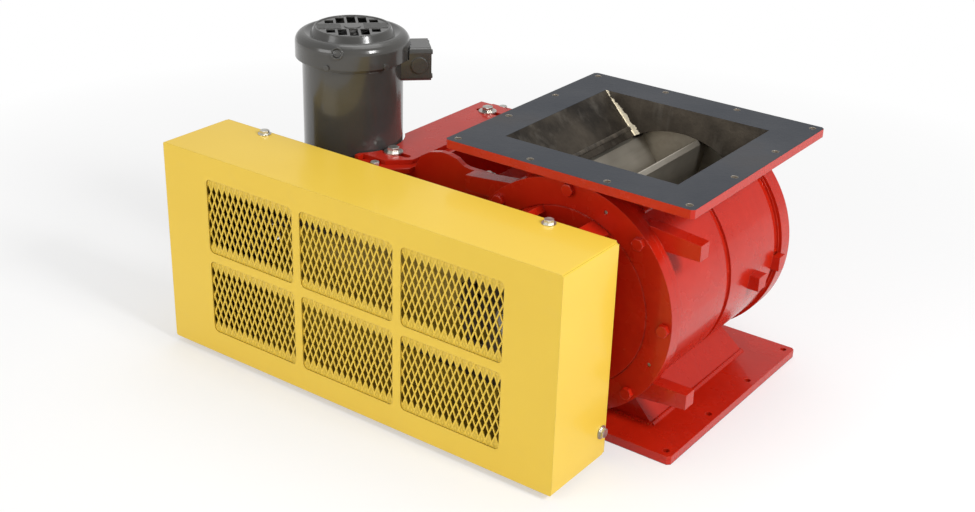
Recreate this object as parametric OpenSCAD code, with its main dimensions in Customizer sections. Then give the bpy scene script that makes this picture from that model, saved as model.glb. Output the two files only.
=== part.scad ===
// Rotary airlock valve with a side-mounted chain drive.
// Origin: centre of the outlet flange's bottom face. +Z up, rotor axis along Y,
// chain guard on the -Y side, motor on the -X side.

/* [Housing] */
// Side of the square inlet and outlet flanges
flange_size = 457; // [440:1:480]
// Thickness of both flanges
flange_t = 15; // [12:1:18]
// Height from the outlet face to the inlet face
face_to_face = 440; // [436:1:480]
// Corner chamfer of the flanges
flange_chamfer = 5; // [3:1:12]
// Distance from a flange's edge to its row of holes
hole_edge = 15.5; // [13:0.5:18]
// Diameter of the flange holes
flange_hole_d = 11; // [9:0.5:14]
// Inlet and outlet opening along X
opening_x = 322; // [300:1:340]
// Inlet and outlet opening along Y
opening_y = 310; // [290:1:330]
// Throat width where it meets the bore
throat_x = 176; // [150:1:200]
// Throat length where it meets the bore
throat_y = 290; // [260:1:300]
// Wall of the flared throats
throat_wall = 8; // [6:0.5:12]
// Bore of the housing
bore_d = 354; // [340:1:356]
// Wall of the barrel
barrel_wall = 17; // [14:1:18]
// Length of the housing between the end plates
housing_len = 378; // [360:1:400]
// Width of the thickened rim at each end
rim_w = 12; // [8:1:16]
// Width of the two grooves round the barrel
groove_w = 16; // [10:1:20]
// Depth of the two grooves
groove_depth = 4.5; // [2:0.5:6]
// Place of the middle groove along Y
groove_mid_y = -8; // [-30:1:30]
// Distance from the rear groove's middle to the housing's rear end
groove_rear_inset = 21; // [19:1:40]

/* [Drive lugs on the housing] */
// Side of the square lug bars
lug_size = 26; // [22:1:30]
// Height of the lugs above and below the rotor axis
lug_offset = 130; // [120:1:136]
// Reach of the lugs from the middle of the valve
lug_reach = 222; // [212:1:226]
// Growth of the lugs towards the barrel
lug_taper = 14; // [6:1:18]
// Reach of the square boss on the barrel's side
boss_reach = 212; // [204:1:222]
// Reach of the small stop on the rear band
stop_reach = 208; // [202:1:214]

/* [End plates] */
// Reach of the end plates and rims beyond the barrel
rim_rise = 6; // [3:0.5:8]
// Thickness of the end plates
end_plate_t = 18; // [14:1:22]
// Distance from the bore in to the line turned in the end plates
register_in = 23; // [19:1:29]
// Distance from the bore to the circle of the end plate bolts
end_bolt_in = 9; // [7.5:0.5:10]
// Number of bolts in each end plate
end_bolt_n = 8; // [6:1:12]
// Length of the stuffing box outside the plate
box_len = 20; // [16:1:24]
// Outer radius of the stuffing box
box_r = 50; // [46:1:54]
// Length of the pedestal legs
leg_len = 39; // [37:1:46]
// Width of a pedestal leg
leg_w = 33; // [26:1:36]
// Thickness of a pedestal leg
leg_t = 12; // [9:1:14]
// Angle of the legs from the vertical
leg_angle = 24; // [22:1:26]
// Thickness of the bearing plate
bearing_plate_t = 10; // [8:1:12]
// Width of the bearing plate
bearing_plate_w = 168; // [162:1:174]
// Distance of the bearing plate's top inside the turned line
bearing_plate_in = 12; // [8:1:14]

/* [Seals and bearings] */
// Shaft diameter at the seals, bearings and sprocket
shaft_d = 50; // [44:1:54]
// Bore of the stuffing box
packing_d = 70; // [68:1:72]
// Thickness of one packing ring
packing_t = 8; // [6:0.5:8]
// Number of packing rings at each end
packing_n = 3; // [2:1:3]
// Side of the flanged bearing
bearing_size = 112; // [108:1:118]
// Thickness of the bearing flange
bearing_flange_t = 12; // [10:1:14]
// Length of the bearing boss beyond the flange
bearing_boss = 9; // [6:1:9]
// Outer diameter of the bearing's inner ring
bearing_inner_d = 66; // [62:1:72]

/* [Rotor] */
// Number of vanes
vane_n = 8; // [6:1:10]
// Thickness of a vane
vane_t = 8; // [6:0.5:10]
// Angle of the first vane
vane_phase = 33; // [0:1:44]
// Radial gap between rotor and bore
rotor_gap = 0.35; // [0.3:0.05:0.6]
// Gap between rotor and end plates
rotor_end_gap = 0.5; // [0.4:0.1:1]
// Outer radius of the rotor tube
hub_r = 48; // [42:1:56]
// Diameter of the shaft inside the rotor
rotor_shaft_d = 60; // [58:1:66]
// Thickness of the end discs
disc_t = 10; // [8:1:12]

/* [Chain drive] */
// Chain pitch
chain_p = 19.05; // [19.05]
// Teeth of the driven sprocket
driven_n = 36; // [36]
// Teeth of the drive sprocket
drive_n = 18; // [18]
// Number of chain links
chain_links = 88; // [86:2:88]
// Roller diameter
roller_d = 11.9; // [11.5:0.1:12]
// Width between the inner plates
chain_w = 12.6; // [12.6:0.1:13.4]
// Thickness of a link plate
link_t = 2.4; // [2:0.1:2.6]
// Height of a link plate
link_h = 17; // [15:0.5:18]
// Thickness of the sprocket teeth
tooth_t = 11; // [10:0.1:11.4]
// Clearance between a roller and its seat in the sprockets
seat_gap = 1.05; // [1:0.05:1.2]
// Middle plane of the chain, from the guard's back plate
chain_y_off = 57; // [52:1:62]
// Height of the drive shaft above the outlet face
drive_z = 190; // [185:1:200]

/* [Guard] */
// Length of the guard
guard_l = 815; // [805:1:830]
// Depth of the guard
guard_d = 150; // [140:1:160]
// Height of the guard
guard_h = 372; // [366:1:376]
// Height of the guard's bottom above the outlet face
guard_z0 = 10; // [6:1:14]
// Distance from the rotor axis to the guard's right side
guard_right = 137; // [134:1:142]
// Thickness of the cover's sheet
guard_t = 2.5; // [2:0.25:3]
// Thickness of the back plate
back_t = 3; // [2.5:0.25:4]
// Bend radius of the guard's corners
guard_r = 4; // [3:0.5:6]
// Margin beside the window
window_side = 100; // [90:1:110]
// Margin above and below the window
window_top = 42; // [38:1:50]
// Corner radius of the window panes
window_r = 9; // [5:1:14]
// Columns of window panes
pane_n = 3; // [2:1:4]
// Rows of window panes
pane_rows = 2; // [1:1:2]
// Width of the bars between the panes
mullion_w = 16; // [12:1:24]
// Short way of the expanded metal
mesh_x = 12.7; // [12:0.1:14]
// Long way of the expanded metal
mesh_z = 30.5; // [28:0.5:32]
// Strand width of the expanded metal
strand_w = 2.6; // [2:0.1:3]
// Thickness of the expanded metal
mesh_t = 2; // [1.5:0.1:3]
// Width of the back plate's turned edge
lip_w = 24; // [22:1:30]

/* [Drive bracket] */
// Thickness of the bracket's side cheeks
cheek_t = 10; // [8:1:12]
// Thickness of the two base plates
base_t = 8; // [6:1:10]
// Height of the upper base plate's top
base_z = 345; // [340:1:350]
// Left edge of the base plates
base_left = -445; // [-448:1:-440]
// Width of the upper base plate
base_w = 84; // [80:1:90]
// Half length of the upper base plate
base_half = 180; // [172:1:184]
// Half length of the lower base plate
shelf_half = 202; // [196:1:206]
// Corner chamfer of the base plates
base_chamfer = 34; // [24:1:40]
// Distance of the slot bolts from the middle
slot_y = 140; // [134:1:143]
// Length of the adjusting slots
slot_len = 62; // [56:1:66]
// Highest point of the cheeks
cheek_top = 378; // [372:1:384]

/* [Reducer] */
// Centre distance of worm and wheel
worm_cd = 57; // [56:1:58]
// Middle of the reducer along Y
reducer_y = -118; // [-122:1:-114]
// Length of the reducer housing along Y
reducer_w = 100; // [96:1:106]
// Outer radius of the wheel drum
drum_r = 66; // [62:1:68]
// Number of teeth on the worm wheel
wheel_n = 30; // [30]
// Pitch radius of the worm wheel
wheel_r = 40; // [40]
// Radius of the worm barrel
worm_barrel_r = 36; // [33:1:38]
// Diameter of the output shaft
output_d = 28.6; // [26:0.1:32]
// Height of the motor face above the drive shaft
adapter_h = 106; // [102:1:110]
// Thickness of the motor adapter flange
adapter_t = 16; // [12:1:20]

/* [Motor] */
// Outer radius of the motor frame
motor_r = 89; // [86:1:92]
// Wall of the motor frame
motor_wall = 7; // [5:1:9]
// Length of the motor frame
frame_h = 166; // [162:1:176]
// Thickness of the end bells
bell_t = 26; // [22:1:28]
// Outer radius of the fan cover
cowl_r = 101; // [99:1:104]
// Height of the fan cover
cowl_h = 51; // [49:1:58]
// Wall of the fan cover
cowl_t = 2.5; // [2:0.25:4]
// Radius of the raised grille disc
grille_r = 68; // [62:1:71]
// Number of slots in each grille group
slot_n = 5; // [3:1:6]
// Turn of the motor about its axis
motor_turn = 45; // [0:5:90]
// Motor shaft diameter at the coupling
motor_shaft_d = 15.9; // [14:0.1:17]
// Reach of the conduit box beyond the frame
conduit_reach = 43; // [40:1:48]
// Width of the conduit box
conduit_w = 70; // [64:1:84]
// Height of the conduit box
conduit_h = 60; // [56:1:70]
// Rise of the conduit box past the fan cover's lower edge
conduit_rise = 18; // [12:1:22]

/* [Fasteners] */
// Diameter of the end plate bolts
bolt_d = 12; // [11:0.5:12.5]
// Width across the flats of their heads
bolt_af = 19; // [18:0.5:20]
// Height of their heads
bolt_head = 8; // [7:0.5:9]
// Diameter of the guard bolts
guard_bolt_d = 9.5; // [8:0.5:10]
// Width across the flats of the guard bolts
guard_bolt_af = 15; // [14:0.5:17]
// Clearance between a bolt and its hole
bolt_gap = 0.3; // [0.2:0.05:0.6]
// Running clearance of shafts in their bearings
run_gap = 0.05; // [0.03:0.01:0.08]

/* [Hidden] */

$fn = 64;
eps = 0.01;
through = 2;
axis_z = face_to_face / 2;
flange_pitch = (flange_size - 2 * hole_edge) / 3;

// Housing
bore_r = bore_d / 2;
barrel_r = bore_r + barrel_wall;
end_plate_r = barrel_r + rim_rise;
end_bolt_r = bore_r + end_bolt_in;
register_r = bore_r - register_in;
bearing_plate_h = register_r - bearing_plate_in;
half_len = housing_len / 2;
plate_y = half_len + end_plate_t;
throat_drop = face_to_face / 2 - sqrt(bore_r * bore_r - throat_x * throat_x / 4);
throat_slope = (opening_x - throat_x) / 2 / throat_drop;
throat_skin = throat_wall * sqrt(1 + throat_slope * throat_slope);
lug_back = half_len - rim_w + 2;

// End plates and seals
box_y = plate_y + box_len;
pedestal_y = plate_y + leg_len;
seat_y = pedestal_y + bearing_plate_t;
shaft_r = shaft_d / 2;
throat_ring = 6;
packing_y = half_len + throat_ring;
packing_end = packing_y + packing_n * packing_t;
gland_gap = 2;
gland_t = 8;
gland_bolt_r = 43;
gland_stud_d = 8;
gland_w = 64;
bearing_end = seat_y + bearing_flange_t + bearing_boss;
bearing_bolt_off = bearing_size / 2 - 15;
guard_bolt_off = bearing_plate_h - 42;

// Rotor
rotor_r = bore_r - rotor_gap;
rotor_half = half_len - rotor_end_gap;
disc_y = rotor_half - disc_t;

// Guard
back_y = -(bearing_end + 1);
guard_back = back_y;
guard_front = guard_back - guard_d;
guard_left = guard_right - guard_l;
guard_z1 = guard_z0 + guard_h;
chain_y = back_y - chain_y_off;
shaft_front = chain_y - tooth_t / 2 - 6;
window_l = guard_l - 2 * window_side;
window_h = guard_h - 2 * window_top;
window_x0 = guard_left + window_side;
window_z0 = guard_z0 + window_top;
pane_w = (window_l - (pane_n - 1) * mullion_w) / pane_n;
pane_h = (window_h - (pane_rows - 1) * mullion_w) / pane_rows;
guard_bolt_inset = 13;
cover_play = 0.3;
mesh_border = mullion_w / 2 - 0.3;

// Chain: centre distance for the chosen number of links
chain_a = chain_links - (driven_n + drive_n) / 2;
chain_k = pow((driven_n - drive_n) / (2 * PI), 2);
chain_c = chain_p * (chain_a + sqrt(chain_a * chain_a - 8 * chain_k)) / 4;
drive_x = -sqrt(chain_c * chain_c - pow(axis_z - drive_z, 2));
driven_r = chain_p / 2 / sin(180 / driven_n);
drive_r = chain_p / 2 / sin(180 / drive_n);
line_angle = atan2(drive_z - axis_z, drive_x);
wrap_angle = acos((driven_r - drive_r) / chain_c);
driven_wrap = (360 - 2 * wrap_angle) * driven_n / 360;
drive_wrap = 2 * wrap_angle * drive_n / 360;
strand_links = (chain_links - driven_wrap - drive_wrap) / 2;
tooth_tip = 0.25 * chain_p;

// Reducer and motor
motor_x = drive_x + worm_cd;
motor_z = drive_z + adapter_h;
frame_z = motor_z + bell_t;
fan_bell_z = frame_z + frame_h;
cowl_z = fan_bell_z + 8;
cowl_top = cowl_z + cowl_h;
reducer_front = reducer_y - reducer_w / 2;
reducer_rear = reducer_y + reducer_w / 2;
worm_r = worm_cd - wheel_r;
wheel_mod = 2 * wheel_r / wheel_n;
wheel_w = 22;
output_r = output_d / 2;
foot_t = 12;
foot_h = 150;
foot_bolt_y = 42;
foot_bolt_z = 55;
conduit_z = cowl_z + conduit_rise - conduit_h;

// Colours
red = [0.72, 0.09, 0.04];
yellow = [0.91, 0.76, 0.27];
zinc = [0.78, 0.78, 0.76];
steel = [0.50, 0.50, 0.51];
dark_steel = [0.24, 0.25, 0.27];
motor_grey = [0.30, 0.29, 0.27];
packing_colour = [0.75, 0.70, 0.58];
bronze = [0.72, 0.50, 0.26];
brass = [0.80, 0.66, 0.34];
bearing_green = [0.28, 0.33, 0.36];

// ---- Helpers ----

// Cylinder along Y from y0 to y1
module y_cyl(r, y0, y1, x = 0, z = 0) {
    translate([x, y0, z]) rotate([-90, 0, 0]) cylinder(r = r, h = y1 - y0);
}

// Outline in the XZ plane, extruded along Y from y0 to y1
module xz_plate(y0, y1) {
    translate([0, y1, 0]) rotate([90, 0, 0]) linear_extrude(y1 - y0) children();
}

// Rectangle with round corners, low corner at the origin
module round_rect(w, h, r) {
    translate([r, 0]) square([w - 2 * r, h]);
    translate([0, r]) square([w, h - 2 * r]);
    for (x = [r, w - r], y = [r, h - r]) translate([x, y]) circle(r = r);
}

// Hexagon with its top corners turned off at 30 degrees
module hex_head(af, h) {
    corner = af / cos(30) / 2;
    chamfer = (corner - af * 0.475) * tan(30);
    intersection() {
        cylinder(r = corner, h = h, $fn = 6);
        union() {
            cylinder(r = corner + 1, h = h - chamfer);
            translate([0, 0, h - chamfer - eps])
                cylinder(r1 = corner, r2 = af * 0.475, h = chamfer + eps);
        }
    }
}

// Hexagon bolt pointing along -Z: head above the origin, shank below it
module hex_bolt(d, af, head, len, washer = 0) {
    translate([0, 0, washer]) hex_head(af, head);
    if (washer > 0) cylinder(d = af * 1.55, h = washer);
    translate([0, 0, -len]) cylinder(d = d, h = len + washer + eps);
}

// Places children on both ends of the valve
module both_ends() {
    children();
    mirror([0, 1, 0]) children();
}

// ---- Housing ----

// Pyramid-shaped space that widens from the bore to a flange face
module throat(skin_x, skin_y) {
    top = face_to_face / 2;
    low = top - throat_drop;
    reach = low - 60;
    x_top = opening_x / 2 + skin_x;
    x_low = throat_x / 2 + skin_x;
    y_top = opening_y / 2 + skin_y;
    y_low = throat_y / 2 + skin_y;
    intersection() {
        xz_plate(-y_top, y_top)
            polygon([[-x_low, reach], [-x_low, low], [-x_top, top],
                     [x_top, top], [x_low, low], [x_low, reach]]);
        rotate([0, 0, 90]) xz_plate(-x_top, x_top)
            polygon([[-y_low, reach], [-y_low, low], [-y_top, top],
                     [y_top, top], [y_low, low], [y_low, reach]]);
    }
}

module flange_outline() {
    h = flange_size / 2;
    c = h - flange_chamfer;
    polygon([[-h, -c], [-c, -h], [c, -h], [h, -c], [h, c], [c, h], [-c, h], [-h, c]]);
}

// Twelve holes: three pitches along each side
module flange_holes(z) {
    far = 1.5 * flange_pitch;
    for (i = [-1.5:1:1.5], s = [-far, far]) {
        translate([i * flange_pitch, s, z - through])
            cylinder(d = flange_hole_d, h = flange_t + 2 * through);
        if (abs(i) < 1) translate([s, i * flange_pitch, z - through])
            cylinder(d = flange_hole_d, h = flange_t + 2 * through);
    }
}

// Square bar with one tapered side, from the barrel out to its tip
module lug(side, up) {
    h = lug_size / 2;
    root = sqrt(barrel_r * barrel_r - pow(lug_offset + h, 2)) - 12;
    xz_plate(-lug_back, -lug_back + lug_size)
        translate([0, axis_z]) scale([side, up])
            polygon([[root, lug_offset - h], [lug_reach, lug_offset - h],
                     [lug_reach, lug_offset + h],
                     [root, lug_offset + h + lug_taper * 0.75]]);
}

module housing() {
    boss_w = 27;
    boss_z = axis_z - 34;
    boss_y = 72;
    stop_w = 20;
    color(red) difference() {
        union() {
            for (z = [0, face_to_face - flange_t])
                translate([0, 0, z]) linear_extrude(flange_t) flange_outline();
            y_cyl(barrel_r, -half_len, half_len, z = axis_z);
            both_ends() y_cyl(end_plate_r, -half_len, -half_len + rim_w, z = axis_z);
            translate([0, 0, axis_z]) {
                throat(throat_skin, throat_wall);
                mirror([0, 0, 1]) throat(throat_skin, throat_wall);
            }
            for (side = [-1, 1], up = [-1, 1]) lug(side, up);
            mirror([0, 1, 0]) for (up = [-1, 1]) lug(-1, up);
            translate([bore_r + 2, boss_y, boss_z]) cube([boss_reach - bore_r - 2, boss_w, 25]);
            translate([bore_r + 2, half_len - rim_w - stop_w, boss_z + 5])
                cube([stop_reach - bore_r - 2, stop_w, 26]);
        }
        y_cyl(bore_r, -half_len - through, half_len + through, z = axis_z);
        translate([0, 0, axis_z]) {
            throat(0, 0);
            mirror([0, 0, 1]) throat(0, 0);
        }
        for (z = [0, face_to_face - flange_t]) flange_holes(z);
        for (y = [groove_mid_y, half_len - groove_rear_inset])
            barrel_groove(y);
        both_ends() end_bolt_places(-half_len)
            translate([0, 0, -end_bolt_depth]) cylinder(d = bolt_d + 2 * bolt_gap,
                                                        h = end_bolt_depth + through);
        both_ends() bracket_bolt_places()
            translate([0, 0, -cheek_t - bracket_grip - 1])
                cylinder(d = bolt_d + 2 * bolt_gap, h = bracket_grip + 2);
    }
}

module barrel_groove(y) {
    difference() {
        y_cyl(barrel_r + 1, y - groove_w / 2, y + groove_w / 2, z = axis_z);
        y_cyl(barrel_r - groove_depth, y - groove_w, y + groove_w, z = axis_z);
    }
}

// ---- End plates ----

end_bolt_depth = 26;

// Frames for the end plate bolts: +Z of each child points out along -Y
module end_bolt_places(y) {
    for (i = [0:end_bolt_n - 1]) {
        a = i * 360 / end_bolt_n;
        translate([end_bolt_r * cos(a), y, axis_z + end_bolt_r * sin(a)])
            rotate([90, 0, 0]) children();
    }
}

module legs() {
    for (a = [leg_angle, -leg_angle, 180 - leg_angle, 180 + leg_angle])
        translate([0, 0, axis_z]) rotate([0, a, 0])
            translate([-leg_w / 2, -pedestal_y - bearing_plate_t / 2, register_r - leg_t])
                cube([leg_w, leg_len + bearing_plate_t / 2 + 1, leg_t]);
}

module bearing_plate_outline() {
    w = bearing_plate_w / 2;
    h = bearing_plate_h;
    c = 22;
    polygon([[-w, -h + c], [-w + c, -h], [w - c, -h], [w, -h + c],
             [w, h - c], [w - c, h], [-w + c, h], [-w, h - c]]);
}

module end_plate() {
    color(red) difference() {
        union() {
            y_cyl(end_plate_r, -plate_y, -half_len, z = axis_z);
            y_cyl(box_r, -box_y, -plate_y + 1, z = axis_z);
            legs();
            translate([0, 0, axis_z]) xz_plate(-seat_y, -pedestal_y)
                bearing_plate_outline();
        }
        difference() {
            y_cyl(register_r + 0.8, -plate_y - 1, -plate_y + 1.5, z = axis_z);
            y_cyl(register_r - 0.8, -plate_y - 2, -plate_y + 2, z = axis_z);
        }
        end_bolt_places(-plate_y) translate([0, 0, -end_plate_t - through])
            cylinder(d = bolt_d + 1, h = end_plate_t + 2 * through);
        y_cyl(shaft_r + run_gap, -plate_y, -half_len + through, z = axis_z);
        y_cyl(packing_d / 2, -box_y - through, -packing_y, z = axis_z);
        y_cyl(bearing_inner_d / 2 + 2, -seat_y - through, -pedestal_y + through, z = axis_z);
        for (i = [0:3]) jack_hole(67.5 + 90 * i);
        gland_stud_places() translate([0, 0, -stud_in - 1])
            cylinder(d = gland_stud_d + 2 * bolt_gap, h = stud_in + 2);
        bearing_bolt_places() translate([0, 0, -bearing_plate_t - through])
            cylinder(d = bolt_d + 2 * bolt_gap, h = bearing_plate_t + 2 * through);
        guard_spacer_places() translate([0, 0, -bearing_plate_t - through])
            cylinder(d = guard_bolt_d + 2 * bolt_gap, h = bearing_plate_t + 2 * through);
    }
}

module jack_hole(a) {
    r = end_bolt_r - 7;
    y_cyl(3.5, -plate_y - 1, -plate_y + 12, x = r * cos(a), z = axis_z + r * sin(a));
}

module front_end_plate() { end_plate(); }

module rear_end_plate() { mirror([0, 1, 0]) end_plate(); }

module end_bolts() {
    color(red) end_bolt_places(-plate_y)
        hex_bolt(bolt_d, bolt_af, bolt_head, end_plate_t + end_bolt_depth - 4);
}

module front_end_bolts() { end_bolts(); }

module rear_end_bolts() { mirror([0, 1, 0]) end_bolts(); }

// ---- Seals and bearings ----

stud_in = 14;
stud_out = box_len;

module gland_stud_places() {
    for (s = [-1, 1]) translate([s * gland_bolt_r, -box_y, axis_z])
        rotate([90, 0, 0]) children();
}

module bearing_bolt_places() {
    for (sx = [-1, 1], sz = [-1, 1])
        translate([sx * bearing_bolt_off, -seat_y, axis_z + sz * bearing_bolt_off])
            rotate([90, 0, 0]) children();
}

module packing() {
    gap = 0.3;
    color(packing_colour) for (i = [0:packing_n - 1]) difference() {
        y_cyl(packing_d / 2 - run_gap, -packing_y - (i + 1) * packing_t + gap,
              -packing_y - i * packing_t, z = axis_z);
        y_cyl(shaft_r + run_gap, -box_y, -half_len, z = axis_z);
    }
}

module front_packing() { packing(); }

module rear_packing() { mirror([0, 1, 0]) packing(); }

// Follower that presses the packing: a spigot and an oval flange
module gland() {
    color(dark_steel) difference() {
        union() {
            y_cyl(packing_d / 2 - 0.3, -box_y - gland_gap - 1, -packing_end, z = axis_z);
            translate([0, 0, axis_z]) xz_plate(-box_y - gland_gap - gland_t, -box_y - gland_gap) {
                circle(r = gland_w / 2 + 7);
                translate([-gland_bolt_r, -9]) square([2 * gland_bolt_r, 18]);
                for (s = [-1, 1]) translate([s * gland_bolt_r, 0]) circle(r = 9);
            }
        }
        y_cyl(shaft_r + 0.4, -box_y - 20, -half_len, z = axis_z);
        gland_stud_places() translate([0, 0, -1])
            cylinder(d = gland_stud_d + 2 * bolt_gap, h = gland_gap + gland_t + 2);
    }
}

module front_gland() { gland(); }

module rear_gland() { mirror([0, 1, 0]) gland(); }

module gland_studs() {
    nut_t = 6;
    color(zinc) gland_stud_places() {
        translate([0, 0, -stud_in]) cylinder(d = gland_stud_d, h = stud_in + gland_gap + gland_t + nut_t + 1);
        translate([0, 0, gland_gap + gland_t]) hex_head(13, nut_t);
    }
}

module front_gland_studs() { gland_studs(); }

module rear_gland_studs() { mirror([0, 1, 0]) gland_studs(); }

// Four-bolt flanged bearing unit
module flanged_bearing() {
    color(bearing_green) difference() {
        union() {
            translate([0, 0, axis_z]) xz_plate(-seat_y - bearing_flange_t, -seat_y)
                translate([-bearing_size / 2, -bearing_size / 2])
                    round_rect(bearing_size, bearing_size, 16);
            y_cyl(bearing_inner_d / 2 + 12, -bearing_end, -seat_y - 1, z = axis_z);
        }
        y_cyl(bearing_inner_d / 2 + run_gap, -bearing_end - 1, -seat_y + 1, z = axis_z);
        bearing_bolt_places() translate([0, 0, -1])
            cylinder(d = bolt_d + 1, h = bearing_flange_t + 2);
        fitting_place() translate([0, 0, -8]) cylinder(d = 6 + 2 * bolt_gap, h = 12);
    }
}

module front_bearing() { flanged_bearing(); }

module rear_bearing() { mirror([0, 1, 0]) flanged_bearing(); }

module bearing_bolts() {
    color(zinc) both_ends() bearing_bolt_places() translate([0, 0, bearing_flange_t])
        hex_bolt(bolt_d, bolt_af, bolt_head, bearing_flange_t + bearing_plate_t);
}

module rear_bearing_cap() {
    cap_h = 14;
    r = bearing_inner_d / 2 + 8;
    color(bearing_green) mirror([0, 1, 0]) difference() {
        union() {
            y_cyl(r, -bearing_end - cap_h, -bearing_end, z = axis_z);
        }
        y_cyl(r - 3, -bearing_end - cap_h + 3, -bearing_end + 1, z = axis_z);
    }
}

// Frame on top of the bearing boss, +Z up
module fitting_place() {
    translate([0, -(seat_y + bearing_flange_t + bearing_boss / 2), axis_z + bearing_inner_d / 2 + 12])
        children();
}

module grease_fittings() {
    color(brass) both_ends() fitting_place() {
        translate([0, 0, -7]) cylinder(d = 6, h = 8);
        cylinder(d = 9 / cos(30), h = 3, $fn = 6);
        translate([0, 0, 3 - eps]) cylinder(d1 = 6, d2 = 4, h = 5);
    }
}

// ---- Rotor ----

// Cross-section: tube and vanes with one bevelled tip edge each
module rotor_section() {
    land = 2;
    circle(r = hub_r);
    for (i = [0:vane_n - 1]) rotate(vane_phase + i * 360 / vane_n)
        polygon([[hub_r - 6, -vane_t / 2], [rotor_r - (vane_t - land), -vane_t / 2],
                 [rotor_r, vane_t / 2 - land], [rotor_r, vane_t / 2],
                 [hub_r - 6, vane_t / 2]]);
}

module rotor() {
    color(steel) translate([0, 0, axis_z]) difference() {
        union() {
            xz_plate(-disc_y - 1, disc_y + 1) rotor_section();
            both_ends() y_cyl(rotor_r, -rotor_half, -disc_y);
        }
        y_cyl(rotor_shaft_d / 2 + run_gap, -rotor_half - 1, rotor_half + 1);
    }
}

module rotor_shaft() {
    color(steel) difference() {
        union() {
            y_cyl(rotor_shaft_d / 2, -rotor_half, rotor_half, z = axis_z);
            y_cyl(shaft_r, shaft_front, bearing_end + 2, z = axis_z);
        }
        translate([-key_w / 2 - run_gap, shaft_front - 1, axis_z + shaft_r - key_h / 2 - run_gap])
            cube([key_w + 2 * run_gap, key_l + 1, key_h]);
    }
}

module bearing_inner_rings() {
    color(zinc) both_ends() difference() {
        y_cyl(bearing_inner_d / 2, -bearing_end, -seat_y + 4, z = axis_z);
        y_cyl(shaft_r + run_gap, -bearing_end - 1, -seat_y + 5, z = axis_z);
    }
}

// ---- Chain drive ----

key_w = 12;
key_h = 8;
key_l = 44;
bushing_r = 38;
sprocket_hub_l = 34;

// Toothed disc: a seat for each roller
module tooth_ring(n, pitch_r, first) {
    difference() {
        circle(r = pitch_r + tooth_tip, $fn = 96);
        for (i = [0:n - 1]) rotate(first + i * 360 / n)
            translate([pitch_r, 0]) {
                circle(d = roller_d + 2 * seat_gap, $fn = 24);
                polygon([[0, -roller_d / 2 - seat_gap], [0, roller_d / 2 + seat_gap],
                         [tooth_tip + 1, chain_p / 2 - 0.6], [tooth_tip + 1, 0.6 - chain_p / 2]]);
            }
    }
}

// Angle of the first roller seated on the driven and on the drive sprocket
driven_first = line_angle + wrap_angle + (ceil(strand_links) - strand_links) * 360 / driven_n;
drive_start = strand_links * 2 + driven_wrap;
drive_first = line_angle - wrap_angle
    + (ceil(drive_start) - drive_start) * 360 / drive_n;

module driven_sprocket() {
    color(dark_steel) difference() {
        union() {
            translate([0, 0, axis_z]) xz_plate(chain_y - tooth_t / 2, chain_y + tooth_t / 2)
                tooth_ring(driven_n, driven_r, driven_first);
            y_cyl(bushing_r + 14, chain_y, chain_y + sprocket_hub_l, z = axis_z);
        }
        y_cyl(bushing_r, chain_y - 20, chain_y + sprocket_hub_l + 1, z = axis_z);
        for (i = [0:5]) y_cyl(15, chain_y - 20, chain_y + 20, x = 78 * cos(60 * i + 30),
                              z = axis_z + 78 * sin(60 * i + 30));
    }
}

module sprocket_bushing() {
    color(steel) difference() {
        y_cyl(bushing_r - run_gap, chain_y - tooth_t / 2, chain_y + sprocket_hub_l, z = axis_z);
        y_cyl(shaft_r + run_gap, chain_y - 20, chain_y + sprocket_hub_l + 1, z = axis_z);
        translate([-key_w / 2 - run_gap, chain_y - 20, axis_z])
            cube([key_w + 2 * run_gap, sprocket_hub_l + 25, shaft_r + key_h / 2 + run_gap]);
        for (a = [30, 150, 270]) y_cyl(3.5, chain_y - 20, chain_y + 6,
            x = (bushing_r + shaft_r) / 2 * cos(a), z = axis_z + (bushing_r + shaft_r) / 2 * sin(a));
    }
}

module sprocket_key() {
    color(steel) translate([-key_w / 2, shaft_front + 1, axis_z + shaft_r - key_h / 2])
        cube([key_w, key_l - 2, key_h - run_gap]);
}

// Place of roller number t along the chain, in the XZ plane
function chain_dir(a, r, c) = [c[0] + r * cos(a), c[1] + r * sin(a)];
driven_c = [0, axis_z];
drive_c = [drive_x, drive_z];
function mix(a, b, f) = [a[0] + (b[0] - a[0]) * f, a[1] + (b[1] - a[1]) * f];
a_up = line_angle - wrap_angle;
a_low = line_angle + wrap_angle;
function chain_point(t) =
    t < strand_links
        ? mix(chain_dir(a_low, drive_r, drive_c), chain_dir(a_low, driven_r, driven_c), t / strand_links)
    : t < strand_links + driven_wrap
        ? chain_dir(a_low + (t - strand_links) * 360 / driven_n, driven_r, driven_c)
    : t < 2 * strand_links + driven_wrap
        ? mix(chain_dir(a_up, driven_r, driven_c), chain_dir(a_up, drive_r, drive_c),
              (t - strand_links - driven_wrap) / strand_links)
    : chain_dir(a_up + (t - drive_start) * 360 / drive_n, drive_r, drive_c);

module link_outline(p, q) {
    d = [q[0] - p[0], q[1] - p[1]];
    len = norm(d);
    translate(p) rotate(atan2(d[1], d[0])) {
        circle(d = link_h, $fn = 24);
        translate([len, 0]) circle(d = link_h, $fn = 24);
        translate([0, -link_h * 0.36]) square([len, link_h * 0.72]);
    }
}

module roller_chain() {
    inner = chain_w / 2;
    outer = inner + link_t + 0.2;
    color(dark_steel) for (i = [0:chain_links - 1]) {
        p = chain_point(i);
        q = chain_point((i + 1) % chain_links);
        y = i % 2 == 0 ? inner : outer;
        for (s = [-1, 1])
            translate([0, chain_y + s * (y + link_t / 2), 0])
                xz_plate(-link_t / 2, link_t / 2) link_outline(p, q);
        y_cyl(roller_d / 2, chain_y - inner - eps, chain_y + inner + eps, x = p[0], z = p[1]);
        y_cyl(3, chain_y - outer - link_t - 1, chain_y + outer + link_t + 1, x = p[0], z = p[1]);
    }
}

// ---- Guard ----

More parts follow.
